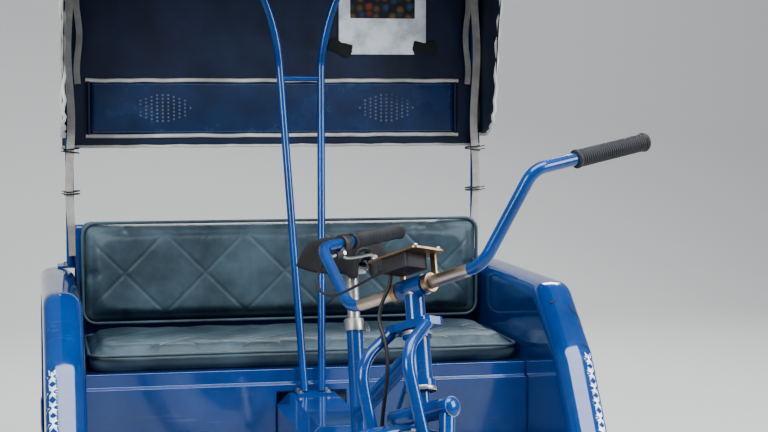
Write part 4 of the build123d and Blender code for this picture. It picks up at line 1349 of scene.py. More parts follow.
def make_saddle():
    """The rider's sprung saddle."""
    low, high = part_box("saddle")
    centre_x = (low.x + high.x) / 2
    back, nose = high.y, low.y
    length = back - nose
    half_wide = (high.x - low.x) / 2

    def place(u, t):
        swell = 1 / (1 + exp((t - 0.42) * 11))
        half = 0.021 + (half_wide - 0.021) * swell * (1 - 0.55 * max(0, 0.12 - t) / 0.12)
        half *= sqrt(max(1 - max(0, (t - 0.93) / 0.07) ** 2 * 0.75, 0.1))
        crown = 0.006 * sin(pi * min(t * 1.1, 1)) - 0.010 * exp(-((t - 0.45) / 0.22) ** 2)
        s = u * 2 - 1
        drop = 0.046 * abs(s) ** 5 + 0.010 * s * s
        x = centre_x + half * copysign(abs(s) ** 0.8, s)
        return x, back - 0.004 - t * (length - 0.008), high.z - 0.007 + crown - drop

    shape = Shape().add(grid(25, 34, place))
    made = piece("saddle_cover", shape, ["saddle_cover"], "root", ["saddle"], 80)
    thicken(made, 0.010, -1)
    modifier(made, "SUBSURF", levels=1, render_levels=1)
    works = Shape()
    rail_level = low.z + 0.006
    for side in (-1, 1):
        rail = curved([(centre_x + side * 0.008, nose + 0.03, low.z + 0.028),
                       (centre_x + side * 0.022, nose + 0.07, rail_level),
                       (centre_x + side * 0.022, nose + 0.17, rail_level - 0.003),
                       (centre_x + side * 0.050, back - 0.045, low.z + 0.014)], 8)
        works.add(tube(rail, 0.0035, 10))
        coil = []
        for step in range(97):
            angle = tau * 4 * step / 96
            x, y = 0.013 * cos(angle), 0.013 * sin(angle)
            coil.append((centre_x + side * 0.056 + x, back - 0.040 + y, low.z + 0.002 + 0.034 * step / 96))
        works.add(tube(coil, 0.0021, 8))
    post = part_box("seat_post")[1]
    clamp_at = Vector((centre_x, (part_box("seat_post")[0].y + post.y) / 2 + 0.012, post.z - 0.006))
    works.add(soft_block((0.060, 0.034, 0.026), 0.006), Matrix.Translation(clamp_at))
    works.rod(clamp_at + Vector((-0.038, 0, 0)), clamp_at + Vector((0.038, 0, 0)), 0.0055, 6)
    piece("saddle_springs", works, ["steel"], "root")


def make_cushions():
    pitch = sizes().quilt_pitch
    depth = sizes().seam_depth
    rows = [
        # name, node, way of the sewn face, way the cushion may swell, room left round it
        ("seat_cushion", (0, 0, 1), (0.25, 0.5, 1.0), 0.012),
        ("back_cushion", (0, -1, 0), (0.25, 1.0, 0.5), 0.014),
    ]
    for node, face, ways, room in rows:
        low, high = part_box(node)
        way = Vector(face)
        inner_low = low + Vector((0.006, 0.006, 0.004))
        inner_high = high - Vector((0.006, 0.006, 0.004))
        if way.z:
            inner_high.z -= room
        else:
            inner_low.y += room
        cushion = swollen(node + "_sewn", inner_low, inner_high, 0.024, ways, 4.0, 0.022)
        modifier(cushion, "SUBSURF", levels=1, render_levels=1)
        settle(cushion)
        centre = (low + high) / 2
        size = high - low
        extent = (size.x / 2 - 0.035, (size.y if way.z else size.z) / 2 - 0.03)
        sew(cushion, face, centre, pitch, extent, depth)
        lowest, highest = low - X_WAY * 0.004, high + X_WAY * 0.004
        for vertex in cushion.data.vertices:
            vertex.co.z = max(vertex.co.z, low.z)
            vertex.co.y = min(vertex.co.y, high.y)
            vertex.co.x = min(max(vertex.co.x, lowest.x), highest.x)
        cushion.data.materials.clear()
        cushion.data.materials.append(finish("seat_vinyl"))
        cushion.data.polygons.foreach_set("use_smooth", [True] * len(cushion.data.polygons))
        dress(cushion, "root", [node])
        make_welt(node, low, high, way)
    make_saddle()


class RICKSHAW_OT_upholstery(bpy.types.Operator):
    """Makes the bench's quilted seat and back cushions with their welts"""
    bl_idname = "rickshaw.upholstery"
    bl_label = "Bench Cushions"

    def execute(self, context):
        make_cushions()
        return {"FINISHED"}


# Canopy


ROOF_LOW, ROOF_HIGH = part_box("canopy_roof")
BACK_LOW, BACK_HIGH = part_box("canopy_back")
CANOPY_HALF = ROOF_HIGH.x
CROWN_DROP = 0.100
ARC_RADIUS = (CANOPY_HALF ** 2 + CROWN_DROP ** 2) / (2 * CROWN_DROP)


def roof_height(x):
    """Height of the canopy's outer face at x."""
    return ROOF_HIGH.z - ARC_RADIUS + sqrt(max(ARC_RADIUS ** 2 - x * x, 0))


def grid(columns, rows, place):
    """Points and faces of a net. Place gives the point at shares across and along."""
    points = [place(i / columns, j / rows) for j in range(rows + 1) for i in range(columns + 1)]
    faces = []
    for j in range(rows):
        for i in range(columns):
            a = j * (columns + 1) + i
            faces.append([a, a + 1, a + columns + 2, a + columns + 1])
    return points, faces


def canopy_trim(name, shape, finish_name):
    return piece(name, shape, [finish_name], "root", (), 60)


def sheet_piece(name, shape, finish_name, node, thickness=0.0016):
    """A cloth of the canopy, with its thickness, standing in for its node when it has one."""
    made = piece(name, shape, [finish_name], "root", [node] if node else (), 60)
    thicken(made, thickness, 0)
    return made


def make_roof():
    sag = sizes().canopy_sag
    bows = [ROOF_LOW.y + 0.032, AXLE.y - 0.190, HOOP_Y]

    def place(u, v):
        x = (u * 2 - 1) * CANOPY_HALF
        y = ROOF_LOW.y + v * (ROOF_HIGH.y - ROOF_LOW.y)
        reach = 0.0
        for a, b in zip(bows, bows[1:]):
            if a < y < b:
                reach = sin(pi * (y - a) / (b - a)) ** 2
        drape = sag * reach * (1 - (x / CANOPY_HALF) ** 4)
        ripple = uneven(0.0018, x * 5, y * 9, 1.0)
        return x, y, roof_height(x) - 0.0012 - drape + ripple - 0.001

    shape = Shape().add(grid(64, 56, place))
    sheet_piece("canopy_roof_cloth", shape, "canopy_vinyl", "canopy_roof")
    edge = Shape()
    radius = sizes().piping_radius
    for y in (ROOF_LOW.y + 0.002, ROOF_HIGH.y - 0.002):
        path = [(x * CANOPY_HALF / 20, y, roof_height(x * CANOPY_HALF / 20)) for x in range(-20, 21)]
        edge.add(tube(path, radius, 10))
    for side in (-1, 1):
        x = side * (CANOPY_HALF - 0.002)
        path = [(x, ROOF_LOW.y + (ROOF_HIGH.y - ROOF_LOW.y) * step / 30, roof_height(CANOPY_HALF) + 0.001
                 + uneven(0.0015, step * 0.7, side, 0)) for step in range(31)]
        edge.add(tube(path, radius, 10))
    canopy_trim("roof_piping", edge, "piping")

    def hang(u, v):
        x = (u * 2 - 1) * CANOPY_HALF
        wave = 0.006 * sin(u * 46) * v
        drop = 0.060 + 0.010 * cos(u * tau * 9)
        return x, ROOF_LOW.y + 0.003 + wave * 0.5 + 0.002, roof_height(x) - 0.002 - v * drop

    made = canopy_trim("front_valance", Shape().add(grid(90, 6, hang)), "canopy_vinyl")
    thicken(made, 0.0014, 0)


def make_back():
    top_face = BACK_HIGH.y

    def place(u, v):
        x = (u * 2 - 1) * (CANOPY_HALF - 0.001)
        top = roof_height(x) - 0.004
        z = BACK_LOW.z + v * (top - BACK_LOW.z)
        billow = -0.006 * sin(pi * u) * sin(pi * v)
        edge_fold = 0.004 * exp(-((abs(x) - 0.50) / 0.03) ** 2) * sin(z * 17)
        ripple = uneven(0.0035, x * 3.2, 0.0, z * 1.4) + uneven(0.0018, x * 9, 3.0, z * 3)
        return x, top_face - 0.004 + (billow + edge_fold + ripple) * 0.8, z

    shape = Shape().add(grid(76, 60, place))
    sheet_piece("canopy_back_cloth", shape, "canopy_vinyl", "canopy_back")
    hem = Shape()
    radius = sizes().piping_radius
    path = [(x * (CANOPY_HALF - 0.002) / 24, top_face - 0.004 + uneven(0.002, x * 0.4, 5.0, 0),
             BACK_LOW.z + 0.002 + uneven(0.002, x * 0.5, 0.0, 4.0)) for x in range(-24, 25)]
    hem.add(tube(path, radius * 0.9, 10))
    canopy_trim("back_hem_piping", hem, "piping")


def make_sides():
    back_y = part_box("canopy_side_left")[1].y
    # distance behind the axle and height of the side cloth's lower edge
    edge_route = curved([(BACK_HIGH.y - AXLE.y, 0, 1.112), (0.140, 0, 1.118), (0.078, 0, 1.190),
                         (0.052, 0, 1.380), (-0.020, 0, 1.540), (-0.110, 0, 1.638), (-0.330, 0, 1.668),
                         (-0.634, 0, 1.700)], 9)
    count = len(edge_route)

    def place(u, v):
        lower = edge_route[min(round(u * (count - 1)), count - 1)]
        y = AXLE.y + lower.x
        top = roof_height(CANOPY_HALF) - 0.003
        top_y = back_y - 0.003 + (ROOF_LOW.y + 0.008 - back_y) * u
        z = lower.z + v * (top - lower.z)
        y = y + v * (top_y - y)
        fold = uneven(0.0035, y * 14, z * 3, 0)
        fold += 0.0022 * sin(y * 62) * exp(-((z - top) / 0.35) ** 2)
        return CANOPY_HALF - 0.004 + fold * 0.8, min(y, back_y - 0.002), z

    left = Shape().add(grid(count - 1, 22, place))
    for name, shape, node in (("canopy_side_cloth_left", left, "canopy_side_left"),
                              ("canopy_side_cloth_right", left.mirrored(), "canopy_side_right")):
        sheet_piece(name, shape, "canopy_vinyl", node)
    path = [(CANOPY_HALF - 0.003, min(AXLE.y + p.x, back_y - 0.002), p.z) for p in edge_route]
    wavy = []
    for index, point in enumerate(path):
        wave = 0.0035 * sin(index * 1.9) + uneven(0.002, index * 0.6, 0, 0)
        wavy.append((point[0] + wave, point[1] + wave * 0.5, point[2]))
    welt = Shape().add(tube(wavy, sizes().piping_radius, 10))
    stand = [(CANOPY_HALF - 0.002 + 0.002 * sin(step * 1.3), back_y - 0.003, 1.112 + step * 0.655 / 40)
             for step in range(41)]
    welt.add(tube(stand, sizes().piping_radius, 10))
    canopy_trim("side_piping_left", welt, "piping")
    canopy_trim("side_piping_right", welt.mirrored(), "piping")


def make_strip():
    """The glossy strip across the back, between two pipings, with its field of small holes."""
    face = BACK_LOW.y + 0.0005
    low_z, high_z = 1.112, 1.258
    half = CANOPY_HALF - 0.078

    def place(u, v):
        x = (u * 2 - 1) * half
        puff = 0.004 * sin(pi * v) ** 0.7
        dent = uneven(0.0012, x * 6, v * 2, 7.0)
        return x, face - 0.0015 - puff + dent, low_z + v * (high_z - low_z)

    shape = Shape().add(grid(80, 14, place))
    made = canopy_trim("back_strip", shape, "strip_vinyl")
    thicken(made, 0.0016, 0)
    edges = Shape()
    for z in (low_z - 0.002, high_z + 0.002):
        path = [(x * (half + 0.014) / 30, face - 0.003 + uneven(0.0012, x, z, 0),
                 z + uneven(0.0022, x * 0.31, z * 3, 1.0)) for x in range(-30, 31)]
        edges.add(tube(path, 0.0056, 10))
    canopy_trim("strip_piping", edges, "piping")
    flaps = Shape()
    stitches = Shape()
    for z in (low_z + 0.009, high_z - 0.009):
        for index in range(150):
            x = -half + 0.008 + index * (2 * half - 0.016) / 149
            v = (z - low_z) / (high_z - low_z)
            y = face - 0.0030 - 0.004 * sin(pi * v) ** 0.7
            stitches.rod((x - 0.0018, y, z), (x + 0.0018, y, z), 0.00045, 5)
    for side in (-1, 1):
        path = [(side * (half + 0.006), face - 0.003, low_z - 0.006 + step * (high_z - low_z + 0.012) / 8)
                for step in range(9)]
        flaps.add(tube(path, 0.0045, 8))
    piece("strip_stitches", stitches, ["thread"], "root")
    canopy_trim("strip_ends", flaps, "canopy_vinyl")
    holes = Shape()
    columns = 11
    middle_z = (low_z + high_z) / 2
    spots = []
    for column in range(columns):
        bulge = round(5 * sin(pi * (column + 0.5) / columns))
        count = 1 if column in (0, columns - 1) else 3 + bulge
        offset = (column - (columns - 1) / 2) * 0.0150
        spots += [(offset, middle_z + (row - (count - 1) / 2) * 0.0100) for row in range(count)]
    for middle_x in (-0.309, 0.309):
        for offset, z in spots:
            x = middle_x + offset
            v = (z - low_z) / (high_z - low_z)
            y = face - 0.0024 - 0.004 * sin(pi * v) ** 0.7
            place_here = axes_at(Vector((x, y, z)), X_WAY, Vector((0, -1, 0)))
            holes.add(turned([(0, 0.0001), (0.0019, 0.0002), (0.0026, 0.0007), (0.0030, 0.0)], 10),
                      place_here)
    piece("speaker_holes", holes, ["dot"], "root")


def make_board():
    """The notice board with notched corners, its plain print and the black tape that holds it."""
    low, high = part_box("notice_board")
    face = low.y - 0.0042
    centre = Vector(((low.x + high.x) / 2, face, (low.z + high.z) / 2))
    width, tall = high.x - low.x, high.z - low.z
    notch = 0.030
    half, rise = width / 2, tall / 2
    outline = [(-half + notch, -rise), (half - notch, -rise), (half - notch * 0.8, -rise + notch),
               (half, -rise + notch * 1.1), (half, rise), (-half, rise), (-half, -rise + notch * 1.1),
               (-half + notch * 0.8, -rise + notch)]
    upright = axes_at(centre, X_WAY, Vector((0, -1, 0)))
    up = 1 if (upright @ Y_WAY).z > centre.z else -1
    shape = Shape().add(slab([(x, up * y) for x, y in outline], -0.0005, 0.0008), upright)
    piece("board_sheet", shape, ["board"], "root", ["notice_board"])
    print_outline = [(x, up * (y + 0.028)) for x, y in rounded(width * 0.74, tall * 0.58, 0.002)]
    picture = Shape().add(slab(print_outline, 0.0008, 0.0011), upright)
    piece("board_print", picture, ["print"], "root")
    tape = Shape()
    chance = random.Random(sizes().seed + 3)
    for sx, sy in ((-1, -1), (1, -1), (-1, 1), (1, 1)):
        for lean in (0.0, 0.5):
            corner = Vector((sx * (half - 0.004), up * sy * (rise - (0.018 if sy < 0 else 0.01)), 0.0013))
            turn = Matrix.Rotation(chance.uniform(-0.25, 0.25) + lean * sx, 4, "Z")
            rough = [(x, y + chance.uniform(-0.0015, 0.0015)) for x, y in rounded(0.066, 0.026, 0.002, 2)]
            place = upright @ Matrix.Translation(corner) @ turn
            tape.add(slab(rough, lean * 0.0004, 0.0004 + lean * 0.0004), place)
    piece("board_tape", tape, ["tape"], "root")


def make_straps():
    """Pale straps that run down both rear posts, and the dark ties round them."""
    for side, name in ((1, "left"), (-1, "right")):
        shape = Shape()
        x = side * 0.560
        chance = random.Random(sizes().seed + 7 + side)
        rows = [
            # top, foot, offset outwards, width and lean of one strap
            (1.790, 0.790, -0.002, 0.021, 0.0), (1.790, 1.250, -0.026, 0.017, 0.3),
        ]
        for top, foot, outward, width, lean in rows:
            path = []
            for step in range(17):
                z = top - (top - foot) * step / 16
                sway = 0.004 * sin(step * 1.1 + outward * 90)
                path.append((x + side * (outward + sway), HOOP_Y - 0.0155 + 0.0015 * chance.uniform(-1, 1),
                             z))
            shape.add(ribbon(curved(path, 4), Vector((1, lean * side, 0)), width, 0.0016))
        piece("post_straps_" + name, shape, ["webbing"], "root", (), 50)
        ties = Shape()
        for z, lean in ((1.076, 0.1), (1.068, -0.15), (0.962, 0.1), (0.955, 0.05)):
            ring = []
            for angle in around(24):
                ring.append((x - side * 0.006 + 0.0205 * cos(angle), HOOP_Y - 0.004 + 0.018 * sin(angle),
                             z + lean * 0.02 * cos(angle)))
            ties.add(tube(ring, 0.0017, 6, closed=True))
            tail = Vector((x + side * 0.008, HOOP_Y - 0.021, z))
            ties.rod(tail, tail + Vector((side * 0.014, -0.012, 0.004)), 0.0012, 6)
        piece("post_ties_" + name, ties, ["tie"], "root", (), 50)


class RICKSHAW_OT_canopy(bpy.types.Operator):
    """Makes the canopy's roof, back and side cloths with their piping, hems and seams"""
    bl_idname = "rickshaw.canopy"
    bl_label = "Canopy Cloths"

    def execute(self, context):
        make_roof()
        make_back()
        make_sides()
        make_strip()
        make_board()
        make_straps()
        return {"FINISHED"}


# Handlebar


BAR_RISE = Vector((0.286, 0.032, 0.146))
GRIP_WAY = Vector((0.044, 0.246, 0.076))
GRIP_LENGTH = 0.165


def bar_side(side, *points):
    """Points of the bar's left half, put on the side asked for."""
    return [STEER_PLACE @ Vector((side * point.x, point.y, point.z)) for point in points]


def make_lever(side, end, way):
    """The brake lever with its clamp, blade and barrel, on one side of the bar."""
    shape = Shape()
    down = Vector((0, -0.3, -1)).normalized()
    clamp = end - way * (GRIP_LENGTH + 0.026)
    ring, length = along(*bar_side(side, clamp - way * 0.011, clamp + way * 0.011))
    shape.add(turned([(0.0112, 0), (0.0168, 0), (0.0178, 0.003), (0.0178, length - 0.003), (0.0168, length),
                      (0.0112, length)], 24), ring)
    pivot = clamp + down * 0.024
    neck = curved([clamp + down * 0.012, clamp + down * 0.020 - way * 0.004, pivot - way * 0.006,
                   pivot - way * 0.020], 5)
    shape.add(tube(bar_side(side, *neck), [0.011 - 0.0035 * i / 15 for i in range(16)], 14))
    pin = Vector((0.011, 0, 0))
    shape.rod(*bar_side(side, pivot + pin, pivot - pin), 0.0042, 12, 1)
    blade = curved([pivot - way * 0.004, pivot + way * 0.022 + down * 0.012,
                    pivot + way * 0.065 + down * 0.016, pivot + way * 0.100 + down * 0.017,
                    pivot + way * 0.118 + down * 0.026], 7)
    radii = [0.0062 - 0.0014 * sin(pi * i / (len(blade) - 1)) for i in range(len(blade))]
    shape.add(tube(bar_side(side, *blade), radii, 12, flat=0.72), None, 1)
    tip = bar_side(side, blade[-1])[0]
    ball = along(tip, tip + STEER_UP * 0.01)[0]
    sphere = [(0.0072 * sin(pi * i / 8), -0.0072 * cos(pi * i / 8)) for i in range(9)]
    shape.add(turned(sphere, 14), ball, 1)
    barrel = pivot - way * 0.018
    shape.rod(*bar_side(side, barrel, barrel - way * 0.014), 0.0046, 12, 1, end_radius=0.0036)
    return shape


def make_cables():
    """The lever's and the motor's cable, each a smooth line through the route's own points."""
    lever_route = [(0.034, -0.020, 0.040), (0.062, -0.022, 0.039), (0.112, -0.034, 0.026),
                   (0.170, -0.042, 0.016), (0.222, -0.032, 0.036), (0.262, -0.008, 0.072),
                   (0.284, 0.022, 0.100), (0.293, 0.050, 0.122), (0.2955, 0.0780, 0.1393)]
    motor_route = [(-0.024, -0.030, 0.028), (-0.026, -0.033, 0.004), (-0.040, -0.042, -0.020),
                   (-0.051, -0.045, -0.054), (-0.033, -0.046, -0.094), (-0.032, -0.045, -0.134),
                   (-0.045, -0.041, -0.172), (-0.063, -0.035, -0.206), (-0.080, -0.029, -0.242),
                   (-0.083, -0.024, -0.288), (-0.083, -0.027, -0.342), (-0.085, -0.033, -0.398),
                   (-0.084, -0.040, -0.452), (-0.088, -0.044, -0.500), (-0.103, -0.046, -0.540),
                   (-0.121, -0.048, -0.569), (-0.129, -0.050, -0.593), (-0.119, -0.050, -0.608),
                   (-0.100, -0.050, -0.606)]
    rows = [("lever_cable", lever_route, 0.0025, -1), ("motor_cable", motor_route, 0.0035, 1)]
    for name, route, radius, side in rows:
        line = bpy.data.curves.new(name, "CURVE")
        line.dimensions = "3D"
        line.bevel_depth = radius
        line.bevel_resolution = 4
        line.resolution_u = 12
        line.use_fill_caps = True
        spline = line.splines.new("NURBS")
        spline.points.add(len(route) - 1)
        for point, (x, y, z) in zip(spline.points, route):
            point.co = (*steered(side * x, y, z), 1)
        spline.order_u = 3
        spline.use_endpoint_u = True
        line.materials.append(finish("cable_sheath"))
        dress(placed(name, line), "steering",
              ["control_cables"] if name == "motor_cable" else ())
    ties = Shape()
    for z in (-0.300, -0.430):
        share = (-z - 0.226) / 0.379
        ring = []
        for angle in around(28):
            ring.append(STEER_PLACE @ Vector((-0.0685 + 0.0205 * cos(angle),
                                              -0.050 * share - 0.006 + 0.0185 * sin(angle), z)))
        ties.add(tube(ring, 0.0016, 6, closed=True))
    piece("cable_ties", ties, ["tie"], "steering", (), 50)


def make_console():
    """The bolts of the bracket, the stem and the headset, and the worn bare stretch of the bar."""
    top = 0.058
    bolts = Shape()
    for side in (-1, 1):
        for y in (-0.040, 0.014):
            spot = steer_shift(side * 0.056, y, top)
            bolts.add(turned([(0, 0.005), (0.0042, 0.005), (0.0048, 0.004), (0.0048, 0), (0.0075, 0),
                              (0.0075, -0.0008), (0, -0.0008)], 6), spot)
    for side in (-1, 1):
        nut = steer_shift(side * 0.042, 0.0162, 0.020) @ Matrix.Rotation(-pi / 2, 4, "X")
        bolts.add(turned([(0, 0.006), (0.0055, 0.006), (0.006, 0.005), (0.006, 0), (0, 0)], 6), nut)
    crown = steer_shift(0, 0, -0.014)
    bolts.add(turned([(0, 0.009), (0.006, 0.009), (0.008, 0.006), (0.0175, 0.005), (0.0185, 0.0), (0, 0)],
                     24), crown)
    for level in (-0.0835, -0.1835):
        cup = steer_shift(0, 0, level)
        bolts.add(turned([(0.0265, -0.004), (0.0272, -0.003), (0.0272, 0.003), (0.0265, 0.004)], 40), cup)
    piece("stem_bolts", bolts, ["steel"], "steering")
    caps = Shape()
    for side in (-1, 1):
        seat = STEER_PLACE @ axes_at(Vector((side * 0.076, 0, -0.226)), Y_WAY, Vector((side, 0, 0)))
        caps.add(turned([(0, 0.0062), (0.006, 0.0060), (0.0125, 0.0042), (0.0162, 0.0015),
                         (0.0172, -0.0005)], 32), seat)
    piece("crown_caps", caps, ["paint"], "steering", (), 60)
    wraps = Shape()
    for side in (-1, 1):
        place, length = along(*bar_side(side, X_WAY * 0.050, X_WAY * 0.146))
        profile = [(0.0112, 0)]
        for index in range(8):
            at = 0.001 + index * (length - 0.002) / 8
            profile += [(0.0119, at), (0.0116, at + (length - 0.002) / 8 * 0.92)]
        wraps.add(turned(profile + [(0.0112, length)], 24), place)
    piece("bar_tape", wraps, ["bar_tape"], "steering", (), 50)


def make_grips():
    end = BAR_RISE + GRIP_WAY
    way = GRIP_WAY.normalized()
    grips = Shape()
    for side in (-1, 1):
        place, length = along(*bar_side(side, end + way * 0.005, end - way * GRIP_LENGTH))
        profile = [(0, -0.001), (0.012, -0.001), (0.0158, 0.0012), (0.0172, 0.004), (0.0172, 0.007),
                   (0.0152, 0.009)]
        count = 30
        for index in range(count):
            at = 0.0105 + index * (length - 0.020) / count
            step = (length - 0.020) / count
            profile += [(0.0142, at), (0.0156, at + step * 0.25), (0.0156, at + step * 0.7),
                        (0.0142, at + step * 0.95)]
        profile += [(0.0165, length - 0.007), (0.0168, length - 0.002), (0.0150, length), (0.0112, length)]
        grips.add(turned(profile, 28), place)
    piece("grips_ribbed", grips, ["grip"], "steering", ["grips"], 45)
    piece("brake_lever_curved", make_lever(-1, end, way), ["dark_metal", "steel", "case"], "steering",
          ["brake_lever"], 40)
    make_cables()
    make_console()


class RICKSHAW_OT_cockpit(bpy.types.Operator):
    """Makes the grips, brake lever, cables, tape and bolts of the handlebar"""
    bl_idname = "rickshaw.cockpit"
    bl_label = "Handlebar Fittings"

    def execute(self, context):
        make_grips()
        return {"FINISHED"}


# Lamps and fasteners


def make_welds():
    """Beads of weld where the frame's tubes meet, and the clamp on the seat tube."""
    beads = Shape()
    rail_low, rail_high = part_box("frame_rails")
    cross_low, cross_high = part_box("frame_crossbars")
    rail_z = (rail_low.z + rail_high.z) / 2
    rail_x = rail_high.x - 0.019
    rows = [cross_low.y + 0.019, AXLE.y - 0.320, AXLE.y - 0.090, cross_high.y - 0.019]
    for y in rows:
        for side in (-1, 1):
            ring = []
            for step, angle in enumerate(around(40)):
                dip = 0.019 * (1 - sqrt(max(1 - sin(angle) ** 2, 0)))
                lump = 0.0005 * sin(step * 2.7)
                ring.append((side * (rail_x - 0.0185 + dip * 0.9), y + (0.0195 + lump) * cos(angle),
                             rail_z + (0.0195 + lump) * sin(angle)))
            beads.add(tube(ring, 0.0026, 6, closed=True))
    piece("frame_welds", beads, ["paint"], "root", (), 70)
    collar = Shape()
    post_low, post_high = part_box("seat_post")
    foot = Vector((0, post_low.y + 0.0131, post_low.z + 0.0035))
    head = Vector((0, post_high.y - 0.0131, post_high.z - 0.0035))
    lean = (head - foot).normalized()
    base, length = along(foot - lean * 0.020, foot + lean * 0.006)
    collar.add(turned([(0.0172, 0), (0.0205, 0), (0.0208, 0.003), (0.0208, length - 0.002), (0.0195, length),
                       (0.0138, length)], 32), base)
    ear = foot - lean * 0.007 + Vector((0, 0.024, 0.004))
    collar.add(soft_block((0.020, 0.014, 0.018), 0.003, 2), Matrix.Translation(ear))
    collar.rod(ear - Vector((0.018, 0, 0)), ear + Vector((0.018, 0, 0)), 0.0038, 12)
    collar.add(tube(curved([ear + Vector((0.016, 0, 0)), ear + Vector((0.024, -0.010, -0.002)),
                            ear + Vector((0.026, -0.034, -0.006)), ear + Vector((0.024, -0.056, -0.012))],
                           6), 0.004, 10, flat=0.6))
    piece("seat_clamp", collar, ["steel"], "root")


def make_lamps_and_bolts():
    low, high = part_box("tail_lamps")
    lenses = Shape()
    rims = Shape()
    for side in (-1, 1):
        centre = Vector((side * (high.x - 0.042), high.y, (low.z + high.z) / 2))
        face = axes_at(centre, X_WAY, Y_WAY)
        profile = [(0, 0.0045)]
        for index in range(7):
            r = 0.004 + index * 0.005
            profile += [(r, 0.0045 - index * 0.0003), (r + 0.0016, 0.0030 - index * 0.0003)]
        profile += [(0.0365, 0.001), (0.0375, -0.004)]
        lenses.add(turned(profile, 48), face)
        rims.add(turned([(0.0375, -0.022), (0.0445, -0.022), (0.0445, -0.001), (0.0425, 0.0025),
                         (0.0385, 0.0020), (0.0375, -0.002)], 48, closed=True), face)
    piece("tail_lamp_lenses", lenses, ["red_lens"], "root")
    piece("tail_lamp_rims", rims, ["chrome"], "root")
    bolts = Shape()
    plate_low, plate_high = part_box("canopy_rear_hoop")
    post_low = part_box("front_post_left")[0]
    floor_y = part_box("floor_pan")[0].y + 0.015
    rows = [
        # distance from the middle, places along and height of each pair of rows of bolts
        (plate_high.x - 0.023, [HOOP_Y + dy for dy in (-0.032, 0.032)], plate_low.z + 0.005),
        (0.034, [post_low.y + 0.027 + dy for dy in (-0.018, 0.018)], post_low.z + 0.005),
        (INNER_WALL - 0.010, [floor_y + share * 0.40 for share in (0.15, 0.5, 0.85)], FLOOR_TOP),
    ]
    head = [(0, 0.0056), (0.0045, 0.0056), (0.0052, 0.0046), (0.0052, 0.0012), (0.0088, 0.0012),
            (0.0090, 0), (0, 0)]
    for x, lengthwise, z in rows:
        for side in (-1, 1):
            for y in lengthwise:
                bolts.add(turned(head, 6), axes_at(Vector((side * x, y, z)), X_WAY, Z_WAY))
    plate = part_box("plate_holder")
    for sx in (-1, 1):
        for sz in (-1, 1):
            middle_z = (plate[0].z + plate[1].z) / 2
            spot = Vector((sx * (plate[1].x - 0.018), plate[1].y, middle_z + sz * 0.055))
            seat = axes_at(spot, X_WAY, Y_WAY)
            bolts.add(turned([(0, 0.003), (0.004, 0.0024), (0.0055, 0.0008), (0.0055, 0), (0, 0)], 16), seat)
    piece("panel_bolts", bolts, ["steel"], "root")
    make_welds()


class RICKSHAW_OT_fittings(bpy.types.Operator):
    """Makes the tail lamps' covers, feet bolts, weld beads and clamps"""
    bl_idname = "rickshaw.fittings"
    bl_label = "Lamps and Fasteners"

    def execute(self, context):
        make_lamps_and_bolts()
        return {"FINISHED"}


# Stage


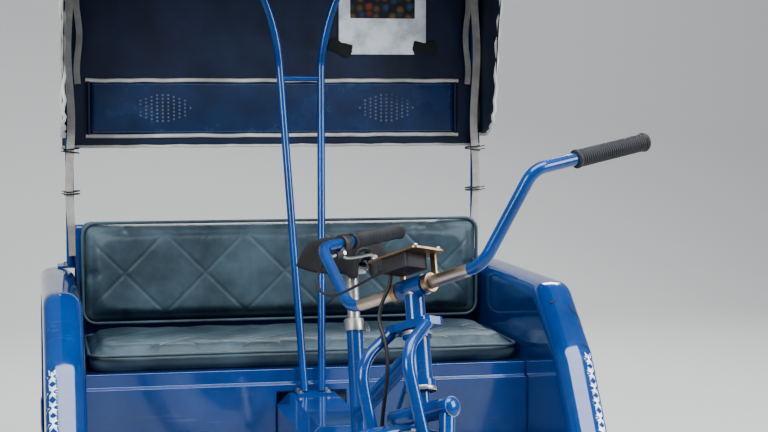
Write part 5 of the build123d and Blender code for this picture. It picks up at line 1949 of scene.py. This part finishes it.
def make_stage(context):
    settings = context.scene.rickshaw_stage
    reach, bend, rise = 9.0, settings.backdrop_distance, 2.4
    profile = [(-reach, 0.0), (bend, 0.0)]
    for step in range(1, 13):
        angle = pi / 2 * step / 12
        profile.append((bend + rise * sin(angle), rise * (1 - cos(angle))))
    profile.append((bend + rise, 8.0))
    points = [(side * 14.0, y, z) for y, z in profile for side in (-1, 1)]
    faces = [[2 * i, 2 * i + 1, 2 * i + 3, 2 * i + 2] for i in range(len(profile) - 1)]
    mesh = bpy.data.meshes.new("studio_floor")
    mesh.from_pydata(points, [], faces)
    mesh.polygons.foreach_set("use_smooth", [True] * len(faces))
    mesh.materials.append(Finish("studio_grey", (0.60, 0.60, 0.59), 0.85).material)
    made = placed("studio_floor", mesh)
    target = Vector((0.1, 0.3, 0.8))
    rows = [
        # name, place, size across and along, power, colour
        ("key_light", (-4.2, -3.4, 3.6), (2.0, 2.2), 150.0, (1.0, 0.97, 0.94)),
        ("fill_light", (4.6, -2.6, 3.0), (2.2, 2.6), 170.0, (0.93, 0.96, 1.0)),
        ("back_light", (1.2, 5.0, 4.4), (3.4, 1.6), 190.0, (1.0, 1.0, 1.0)),
        ("top_light", (0.4, -1.6, 5.4), (4.6, 3.2), 330.0, (0.96, 0.98, 1.0)),
    ]
    for name, place, size, power, colour in rows:
        lamp = bpy.data.lights.new(name, "AREA")
        lamp.shape = "RECTANGLE"
        lamp.size, lamp.size_y = size
        lamp.energy = power
        lamp.color = colour
        holder = placed(name, lamp)
        holder.location = place
        holder.rotation_euler = (target - Vector(place)).to_track_quat("-Z", "Y").to_euler()
    world = bpy.data.worlds.new("studio_air")
    world.use_nodes = True
    world.node_tree.nodes["Background"].inputs[0].default_value = (0.80, 0.85, 0.92, 1)
    world.node_tree.nodes["Background"].inputs[1].default_value = 0.34
    context.scene.world = world
    context.scene.view_settings.view_transform = "AgX"
    context.scene.view_settings.look = "AgX - Medium High Contrast"
    lens = bpy.data.cameras.new("camera")
    lens.lens = settings.lens
    camera = placed("camera", lens)
    camera.location = settings.camera_place
    camera.rotation_euler = (pi / 2 - settings.camera_pitch, 0, -settings.camera_yaw)
    lens.clip_end = 60.0
    context.scene.camera = camera


class RICKSHAW_OT_stage(bpy.types.Operator):
    """Makes the floor, the backdrop, the lights and the camera"""
    bl_idname = "rickshaw.stage"
    bl_label = "Stage, Light and Camera"

    def execute(self, context):
        make_stage(context)
        return {"FINISHED"}


class VIEW3D_PT_rickshaw(bpy.types.Panel):
    """The rickshaw's sizes, colours and making steps"""
    bl_label = "Cycle Rickshaw"
    bl_idname = "VIEW3D_PT_rickshaw"
    bl_space_type = "VIEW_3D"
    bl_region_type = "UI"
    bl_category = "Rickshaw"

    def draw(self, context):
        scene = context.scene
        for settings in (scene.rickshaw_colours, scene.rickshaw_sizes, scene.rickshaw_stage):
            box = self.layout.box()
            for key in settings.__annotations__:
                box.prop(settings, key)
        column = self.layout.column()
        for step in STEPS:
            column.operator(step.bl_idname)


STEPS = (RICKSHAW_OT_stage, RICKSHAW_OT_finishes, RICKSHAW_OT_wheels, RICKSHAW_OT_drive, RICKSHAW_OT_body,
         RICKSHAW_OT_upholstery, RICKSHAW_OT_canopy, RICKSHAW_OT_cockpit, RICKSHAW_OT_fittings)
CLASSES = (RickshawColours, RickshawSizes, RickshawStage, *STEPS, VIEW3D_PT_rickshaw)


def register():
    for made in CLASSES:
        bpy.utils.register_class(made)
    bpy.types.Scene.rickshaw_colours = PointerProperty(type=RickshawColours)
    bpy.types.Scene.rickshaw_sizes = PointerProperty(type=RickshawSizes)
    bpy.types.Scene.rickshaw_stage = PointerProperty(type=RickshawStage)


def unregister():
    del bpy.types.Scene.rickshaw_colours
    del bpy.types.Scene.rickshaw_sizes
    del bpy.types.Scene.rickshaw_stage
    for made in reversed(CLASSES):
        bpy.utils.unregister_class(made)


def main():
    register()
    for step in STEPS:
        group, name = step.bl_idname.split(".")
        getattr(getattr(bpy.ops, group), name)()


if __name__ == "__main__":
    main()
